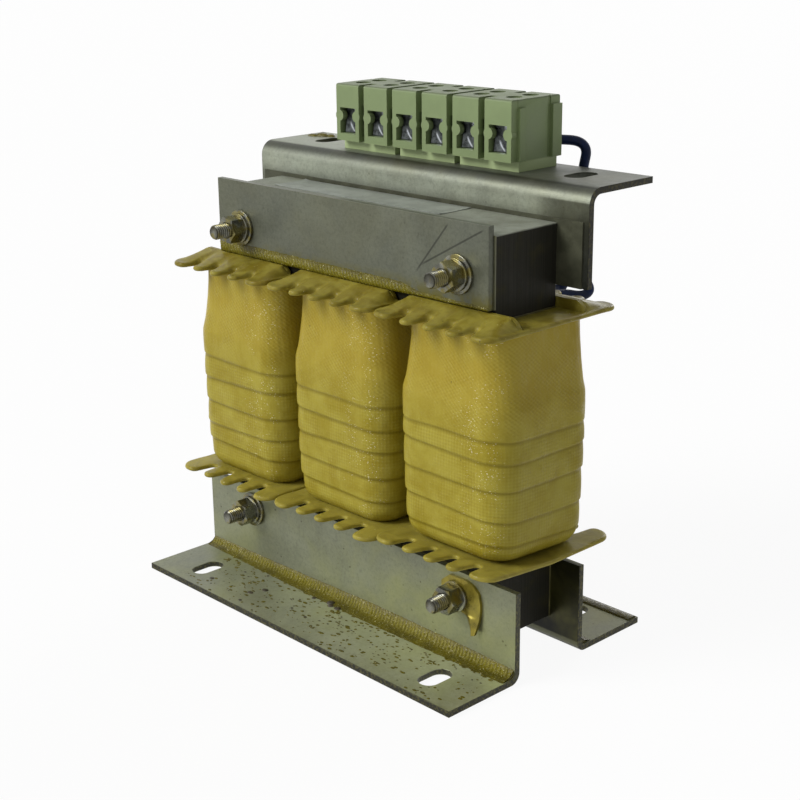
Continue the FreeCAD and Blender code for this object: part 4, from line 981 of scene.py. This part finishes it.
def bar_resin(finish):
    """Ribbed drips along the clamp bar's lower edge, climbing at its left end.

    From the top down, share a from 0 to 1: the film stands 0.05 + 0.18 sin(pi a^1.2) off the
    bar's face plus its ribs, and hangs a little below the edge. It thins out to the right.
    """
    x = np.linspace(-61.7, 61.7, 980)[:, None]
    a = np.linspace(0, 1, 11)[None]
    reach = np.interp(x, [-62, -54, -48, 26, 34, 62], [6.0, 4.6, 3.4, 3.0, 1.2, 0.9])
    reach = reach * (1 + 0.22 * waves(x / WAVE_SPAN, 41, 10, 10, 70))
    strength = np.interp(x, [-62, 26, 34, 62], [1, 1, 0.35, 0.25])
    z = BAR_LOW - 0.5 * strength + (reach + 0.5 * strength) * (1 - a)
    rib = ribs_of(x, z - BAR_LOW, 1.45, 0.5, 43) * np.sin(math.pi * a ** 1.6) * strength
    stand = 0.05 + 0.18 * np.sin(math.pi * a ** 1.2) * strength + 0.42 * rib
    back = [(x, -WEB_BACK + 0.05, z[:, [k]]) for k in (-1, 0)]
    ribbed_skin("bar_edge_resin", places(x, -WEB_BACK - stand, z), back, rib, finish)


def rear_ridge(finish):
    """Low bead of resin along the rear foot's rear edge: a half round of uneven height."""
    x = np.linspace(-72, 73.4, 500)[:, None]
    turn = np.linspace(0, math.pi, 9)[None]
    share = x / WAVE_SPAN
    wide = 2.0 + 0.35 * waves(share, 51, 8, 6, 50)
    high = 0.75 + 0.30 * waves(share, 53, 8, 8, 60)
    rings = places(x, 41.5 + wide * np.cos(turn), SHEET - 0.02 + high * np.sin(turn))
    piece("rear_foot_resin", [tube(rings)], finish, sharp=80)


def droplets(name, spots, finish):
    """Flattened drops on flat ground: rings of radius r cos(a) at height h sin(a).

    spots lists (x, y, ground's z, radius, height, stretch along x).
    """
    parts = []
    turn = np.linspace(0, TURN, 12, endpoint=False)
    lift = np.radians([0, 30, 60, 84])[:, None]
    for i, (x, y, z, radius, height, stretch) in enumerate(spots):
        r = radius * (1 + 0.18 * waves(turn / TURN, 900 + i, 3, 1, 4)) * np.cos(lift)
        parts.append(tube(places(x + r * np.cos(turn) * stretch, y + r * np.sin(turn),
                                 z - 0.02 + height * np.sin(lift))))
    piece(name, parts, finish, sharp=80)


def tag_plate(finish):
    """Earth tag: rows across the tag at each height z from the nut down, bent outwards towards
    the blade's tip and ridged along the blade.

    Its inner face lies at y = -15.5 - 0.020 (-1.5 - z)^2 below z = -1.5, and at -15.5 above.
    """
    z = np.linspace(6.4, -9.9, 44)[:, None]
    drop = [-6.6, -5.5, -3.6, 0, 3.0, 5.0, 6.2, 7.6, 10.0]
    left = np.interp(-z, drop, [-2.2, -3.6, -6.0, -6.0, -4.0, 5.0, 5.8, 6.7, 8.1])
    right = np.interp(-z, drop, [4.0, 7.4, 9.6, 10.4, 10.3, 10.1, 9.9, 9.6, 9.2])
    share = np.linspace(0, 1, 9)
    x = left + (right - left) * share + BOLT_X
    bend = 0.020 * np.clip(-1.5 - z, 0, None) ** 2
    ridge = np.clip(1 - np.abs(share - 0.4) / 0.4, 0, 1)
    puff = 0.95 + 0.75 * ridge * np.clip((-z - 1) / 4, 0, 1)
    inner = places(x, -WEB_BACK - bend, z + LOWER_BOLT_Z)
    outer = places(x, -WEB_BACK - bend - puff, z + LOWER_BOLT_Z)
    piece("earth_tag_form", [tube(np.concatenate([inner, outer[:, ::-1]], 1))], finish,
          sharp=50, replaced=["earth_tag"])


def lead_routes():
    """Corner points of the six leads: from the block down its back and in to the coil.

    In x, pole is where a lead leaves the block, hang where it falls, loop where it turns at
    the flange and coil where it ends. The last lead has a wider loop beside the bracket.
    """
    routes = []
    for pole, hang, loop, coil in ((-33.25, -43.0, -51.2, -43.5), (-19.75, -29.5, -38.2, -39.0),
                                   (-6.25, -13.5, -8.7, -6.0), (7.25, 13.0, 5.3, 5.0),
                                   (20.75, 29.5, 35.3, 39.0)):
        routes.append(((pole, 33.0, 154.5), (pole, 42.2, 153.4), (hang, 48.0, 153.1),
                       (hang - 1.8, 47.0, 143.0), (hang - 1.3, 46.4, 114.5),
                       (loop + 2.4, 48.4, 106.25), (loop, 44.0, 104.35),
                       (coil + 1.0, 36.0, 106.85), (coil, 20.2, 106.25)))
    routes.append(((34.25, 33.0, 154.5), (34.25, 42.2, 153.4), (45.2, 48.0, 153.1),
                   (43.4, 47.0, 143.0), (41.4, 44.6, 114.5), (48.6, 47.2, 107.4),
                   (48.6, 43.6, 104.7), (44.0, 36.0, 106.85), (43.5, 20.2, 106.25)))
    return routes


def leads(finish):
    """The six coil leads: one smooth curve each through its route's corner points."""
    for number, route in enumerate(lead_routes(), start=1):
        curve = bpy.data.curves.new("lead_%d_form" % number, "CURVE")
        curve.dimensions = "3D"
        curve.bevel_depth, curve.bevel_resolution = LEAD_RADIUS * MM, 6
        curve.resolution_u, curve.use_fill_caps = 14, True
        spline = curve.splines.new("NURBS")
        spline.points.add(len(route) - 1)
        for point, spot in zip(spline.points, route):
            point.co = [v * MM for v in spot] + [1.0]
        spline.order_u = 3
        spline.use_endpoint_u = True
        curve.materials.append(finish)
        made = placed("lead_%d_form" % number, curve)
        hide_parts("lead_%d" % number)
        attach(made, "root")


def label_sheet(finish):
    """Bare label on the upper yoke: a thin, slightly wavy sheet with lifted corners."""
    rows, columns = 16, 60
    count = rows * columns
    x = np.linspace(-49.0, 29.0, columns)
    y = np.linspace(-1.5, 12.2, rows)[:, None]
    wave = 0.05 * (1 + np.sin(x * 0.21) * np.sin(y * 0.5))
    corner = (0.25 * np.clip((np.abs(x + 10) - 37) / 2, 0, 1)
              * np.clip((np.abs(y - 5.35) - 5) / 1.8, 0, 1))
    points = np.concatenate([places(x, y, CORE_TOP + 0.14 + wave + corner).reshape(-1, 3),
                             places(x, y, CORE_TOP + 0.02 + corner).reshape(-1, 3)])
    upper = net(rows, columns, around=False)
    rim = (list(range(columns))
           + [r * columns + columns - 1 for r in range(1, rows)]
           + [(rows - 1) * columns + i for i in range(columns - 2, -1, -1)]
           + [r * columns for r in range(rows - 2, 0, -1)])
    faces = upper.tolist() + (upper[:, ::-1] + count).tolist()
    faces += [[a, a + count, b + count, b] for a, b in zip(rim, rim[1:] + rim[:1])]
    piece("label_sheet", [(points, outwards(points, faces))], finish)


def clamp_leaves(finish):
    """Hollow steel leaf across each front entry, dull below and bright at its upper bend.

    The leaf falls from the entry's top with y = 21.0 - s^1.5 + 0.9 (1 - u^2) (0.4 + 0.6 s) over
    its height s and width u. Its gleam, painted highlights, is a patch by the upper right, a thin
    arc low in the middle and a faint neck between them, given as a share of painted brightness on
    the points.
    """
    s = np.linspace(0, 1, 44)[:, None]
    u = np.linspace(-1, 1, 33)[None]
    depth = BLOCK_FRONT + 3.0 - 1.0 * s ** 1.5 + 0.9 * (1 - u ** 2) * (0.4 + 0.6 * s)
    drop = ENTRY_TOP - 0.15 - 8.2 * s
    patch = np.exp(-((s - 0.10) / 0.085) ** 4) * np.clip((u + 0.15) / 0.25, 0, 1)
    arc = np.exp(-((u - (-0.55 + 0.75 * np.clip((s - 0.5) / 0.5, 0, 1) ** 2)) / 0.075) ** 2)
    arc = arc * np.clip((s - 0.56) / 0.12, 0, 1) * np.clip((0.99 - s) / 0.05, 0, 1)
    neck = 0.30 * np.exp(-((u - 0.25) / 0.30) ** 2) * np.exp(-((s - 0.34) / 0.16) ** 2)
    painted_gleam = np.clip(patch + arc + neck, 0, 1)
    mark = np.r_[np.concatenate([painted_gleam, np.zeros_like(painted_gleam)], 1).ravel(), 0, 0]
    parts = []
    for k in range(6):
        front = places(BLOCK_SHIFT + (k - 2.5) * POLE_PITCH + 3.35 * u, depth, drop)
        back = front + [0, 0.3, 0]
        parts.append(tube(np.concatenate([front, back[:, ::-1]], 1)))
    piece("clamp_leaf_set", parts, finish, sharp=50,
          marks={"painted_gleam": np.tile(mark, 6)})


def foot_spots():
    """Small crusts on the front foot's flange, thickest beside the corner, as drop sizes.

    The second list holds the larger dark drops and 60 small ones.
    """
    draw = np.random.default_rng(5)
    drops = []
    for _ in range(420):
        x = draw.uniform(-58, 72)
        y = -WEB_BACK - 4.5 - 23 * draw.uniform(0, 1) ** 1.5
        beside = abs(x + SLOT_X) < 4.5 or abs(x - SLOT_X) < 4.5
        if beside and abs(y + SLOT_Y) < 7.5:
            continue
        size = draw.uniform(0.18, 0.62)
        drops.append((x, y, SHEET, size, draw.uniform(0.06, 0.20), draw.uniform(0.9, 2.2)))
    dark = [(x, y, SHEET, radius, height, stretch) for x, y, radius, height, stretch in (
        (-4.0, -20.2, 1.5, 0.7, 0.9), (-2.4, -21.8, 0.9, 0.5, 1.2), (0.8, -21.6, 1.1, 0.5, 1.2),
        (-27.6, -29.5, 1.0, 0.3, 1.4), (-29.6, -34.4, 0.9, 0.25, 1.5),
        (-48.2, -36.5, 0.8, 0.2, 1.3), (-11.0, -21.7, 0.8, 0.3, 1.2),
        (-2.1, -33.3, 0.6, 0.2, 1.3), (-27.4, -40.5, 0.6, 0.2, 1.3),
        (-10.3, -32.0, 0.5, 0.2, 1.2), (-35.7, -21.5, 0.5, 0.2, 1.3),
        (-44.1, -25.1, 0.5, 0.2, 1.3))]
    for _ in range(60):
        dark.append((draw.uniform(-50, 72), draw.uniform(-42, -22), SHEET,
                     draw.uniform(0.15, 0.42), 0.08, draw.uniform(0.9, 1.5)))
    return drops, dark


# Setting

def backdrop():
    """Pale floor that shows nearly white to the camera and keeps a soft shadow."""
    size = 14.0
    mesh = bpy.data.meshes.new("floor")
    mesh.from_pydata([(-size, -size, 0), (size, -size, 0), (size, size, 0), (-size, size, 0)],
                     [], [(0, 1, 2, 3)])
    floor = placed("floor", mesh)
    floor.location.z = -0.0002
    material = bpy.data.materials.new("floor_white")
    material.use_nodes = True
    nodes, links = material.node_tree.nodes, material.node_tree.links
    shader = nodes["Principled BSDF"]
    shader.inputs["Base Color"].default_value = (0.90, 0.90, 0.89, 1)
    shader.inputs["Roughness"].default_value = 0.9
    glow = nodes.new("ShaderNodeEmission")
    glow.inputs["Strength"].default_value = 1.0
    mix = nodes.new("ShaderNodeMixShader")
    links.new(seen_share(nodes, links, 0.93), mix.inputs[0])
    links.new(shader.outputs[0], mix.inputs[1])
    links.new(glow.outputs[0], mix.inputs[2])
    links.new(mix.outputs[0], nodes["Material Output"].inputs["Surface"])
    mesh.materials.append(material)


def seen_share(nodes, links, share):
    """share for rays from the camera, off gloss and through glass, and 0 for all others."""
    rays = nodes.new("ShaderNodeLightPath")
    total = rays.outputs["Is Camera Ray"]
    for kind in ("Is Glossy Ray", "Is Transmission Ray"):
        most = nodes.new("ShaderNodeMath")
        most.operation = "MAXIMUM"
        links.new(total, most.inputs[0])
        links.new(rays.outputs[kind], most.inputs[1])
        total = most.outputs[0]
    scaled = nodes.new("ShaderNodeMath")
    scaled.operation = "MULTIPLY"
    scaled.inputs[1].default_value = share
    links.new(total, scaled.inputs[0])
    return scaled.outputs[0]


def lights():
    """Wide soft key from the front left, a weak one from behind, and an even pale world."""
    world = bpy.data.worlds.new("studio")
    bpy.context.scene.world = world
    world.use_nodes = True
    nodes, links = world.node_tree.nodes, world.node_tree.links
    level = nodes.new("ShaderNodeMapRange")
    level.inputs["To Min"].default_value = 0.24
    level.inputs["To Max"].default_value = 1.0
    nodes["Background"].inputs["Color"].default_value = (1, 1, 1, 1)
    links.new(seen_share(nodes, links, 1.0), level.inputs["Value"])
    links.new(level.outputs[0], nodes["Background"].inputs["Strength"])
    for name, toward, strength in (("key", (-0.55, -0.95, 0.77), 0.84),
                                   ("rear", (-0.25, 1.0, 0.40), 0.32)):
        lamp = bpy.data.lights.new(name, "SUN")
        lamp.energy, lamp.angle = strength * math.pi, 0.55
        made = placed(name, lamp)
        made.rotation_euler = (-Vector(toward)).to_track_quat("-Z", "Y").to_euler()
    bpy.context.scene.view_settings.view_transform = "Standard"


# The whole

def coils():
    """Taped coils and bobbins, with each coil's seam heights, tongue lifts and lean."""
    plastic = resin_plastic("bobbin_resin", tone(146, 135, 56), tone(122, 109, 34))
    looks = (((45.2, 52.6, 60.4, 68.6, 76.2), (0.2, 0.0, -0.3, -0.3, -0.2), 0.0),
             ((44.2, 52.0, 60.0, 67.8, 75.6), (0.0, 0.2, 0.4, 0.3, 0.1), 0.3),
             ((41.4, 50.4, 60.4, 69.6, 75.6), (0.2, 0.2, 0.2, 0.2, 0.2), 2.5))
    for index, (name, (seams, front_lifts, lean)) in enumerate(zip(SIDES, looks)):
        tape = woven_tape("woven_tape_" + name, tone(162, 150, 58), tone(144, 129, 34),
                          LIMB_PITCH * (index - 1))
        taped_coil(name, index, seams, tape, lean)
        bobbin(name, index, plastic, (front_lifts, (0, 0, 0, 0, 0)), lean)


def sheet_metal():
    """Clamp bar, shelf bracket, feet and core, with their edges softened."""
    cut = (("Y", 43.8, 45.0), ("X", 73.85, 75.0), ("Z", 0.2, 1.8))
    bar = zinc_sheet("clamp_bar_zinc", tone(98, 101, 88), 0.15, 0.25, wet=(BAR_LOW, 7),
                     scratches=(((46.4, 137.0), (32.0, 119.6), 0.42, 0.03),
                                ((60.4, 136.8), (33.7, 122.3), 0.40, 0.03)),
                     # The bar's +X end face painted darker, a painted shade
                     painted_light=(("X", 61.6, 61.9, 0.75, 100),))
    foot = zinc_sheet("foot_zinc", tone(128, 131, 112), 0.45, 0.6, edges=cut,
                      # The flange painted brighter towards its right below z 3.4, painted light
                      painted_light=(("X", -64, -10, 1.70, -3.4),), film_tone=tone(146, 148, 88))
    hind = zinc_sheet("hind_foot_zinc", tone(100, 101, 80), 0.60, 0.7, edges=cut,
                      # The rear foot's web face toward the core, above z 4, painted nearly black,
                      # a painted shadow
                      painted_light=(("Y", 14.6, 14.0, 0.06, 4.0),), film_tone=tone(104, 102, 50))
    rear = zinc_sheet("shelf_zinc", tone(108, 112, 100), 0.18, 0.3,
                      edges=(("X", 73.85, 75.0),),
                      # Painted light and shade: a painted highlight on the bend, a lighter shelf
                      # top fading darker towards +X, and a painted shadow on the web right of the
                      # yoke
                      painted_light=(("Z", 134.5, 139.5, 2.1, 100), ("Z", 140.2, 145.2, 0.17, 100),
                              ("Z", 145.7, 145.95, 5.0, 100), ("X", -52, 60, 0.30, 145.9),
                              ("X", 50, 64, 0.30, -142)),
                      # Darker crusts on the +X cut edge: dark cut steel, partly painted shade
                      crust_tones=(tone(20, 20, 15), tone(60, 56, 26)))
    for node, finish in (("front_clamp_bar", bar), ("rear_terminal_bracket", rear),
                         ("front_foot", foot), ("rear_foot", hind)):
        softened(node, 0.25, finish)
    iron = tone(36, 35, 28)
    softened("core_e_stack", 0.2, laminated_steel("core_sheets", iron))
    softened("core_top_yoke", 0.2, laminated_steel("yoke_sheets", iron, tone(146, 150, 137)))


def terminals():
    """Terminal modules with their clamps, leaves and bars, and the leads."""
    green = green_plastic("terminal_green", tone(126, 142, 98))
    for name in SIDES:
        softened("terminal_module_" + name, 0.18, green)
    steel = plain_finish("clamp_plate", (0.10, 0.10, 0.10, 1.0), 0.35, 0.7, size=2.0, contrast=0.4)
    dress(steel, "front_clamp_cages", "rear_clamp_cages", "front_clamp_screws",
          "rear_clamp_screws")
    clamp_leaves(dark_leaf("leaf_steel"))
    dress(plain_finish("bar_brass", (0.30, 0.27, 0.16, 1), 0.35, 0.8), "current_bars")
    leads(plain_finish("lead_blue", tone(8, 24, 56), 0.45, size=2.0, contrast=0.25, gloss=0.15))


def inner_pieces():
    """Boards, gap spacers, bolt sleeves, windings and the bare label."""
    dress(plain_finish("resin_board", tone(96, 92, 56), 0.5, size=4.0), "lower_front_insulation",
          "lower_rear_insulation", "gap_spacer_left", "gap_spacer_middle", "gap_spacer_right")
    dress(plain_finish("grey_board", tone(98, 98, 74), 0.5, size=5.0), "upper_front_insulation")
    # Painted shade: the rear board's tone made darker where it lies in shadow
    dress(plain_finish("rear_board_shaded", tone(70, 71, 56), 0.5, size=5.0, gloss=0.2),
          "upper_rear_insulation")
    copper = plain_finish("copper", (0.58, 0.25, 0.12, 1), 0.35, 0.9)
    for index, name in enumerate(SIDES):
        winding_form(name, index, copper)
    dress(plain_finish("sleeve_plastic", tone(150, 140, 100), 0.5), "bolt_sleeves")
    label_sheet(blank_paper("label_paper"))


def resin_and_dirt():
    """Hard resin and crusts on the sheet metal."""
    resin = olive_resin("hard_resin", tone(100, 92, 4), tone(152, 143, 34))
    foot_resin("foot_corner_resin", -1, resin)
    foot_resin("rear_corner_resin", 1, resin)
    bar_resin(resin)
    rear_ridge(resin)
    crusts, dark = foot_spots()
    droplets("foot_crusts", crusts, resin)
    droplets("foot_dirt", dark, plain_finish("dried_dirt", tone(44, 36, 16), 0.5, size=1.0,
                                             contrast=0.4, relief=0.1))
    droplets("shelf_resin", [(-68.6, 33.4, 146.0, 1.7, 0.9, 1.5),
                             (-66.0, 35.0, 146.0, 2.0, 1.2, 1.6),
                             (-62.8, 36.4, 146.0, 1.6, 0.9, 1.5),
                             (-69.0, 38.0, 146.0, 1.5, 0.8, 1.2)], resin)


def make():
    set_camera()
    coils()
    sheet_metal()
    clamp_fasteners(bright_zinc("bolt_zinc"))
    tag_plate(plain_finish("tag_tin", tone(132, 120, 44), 0.30, 0.55, size=3.5, contrast=0.30))
    terminals()
    inner_pieces()
    resin_and_dirt()
    backdrop()
    lights()


make()
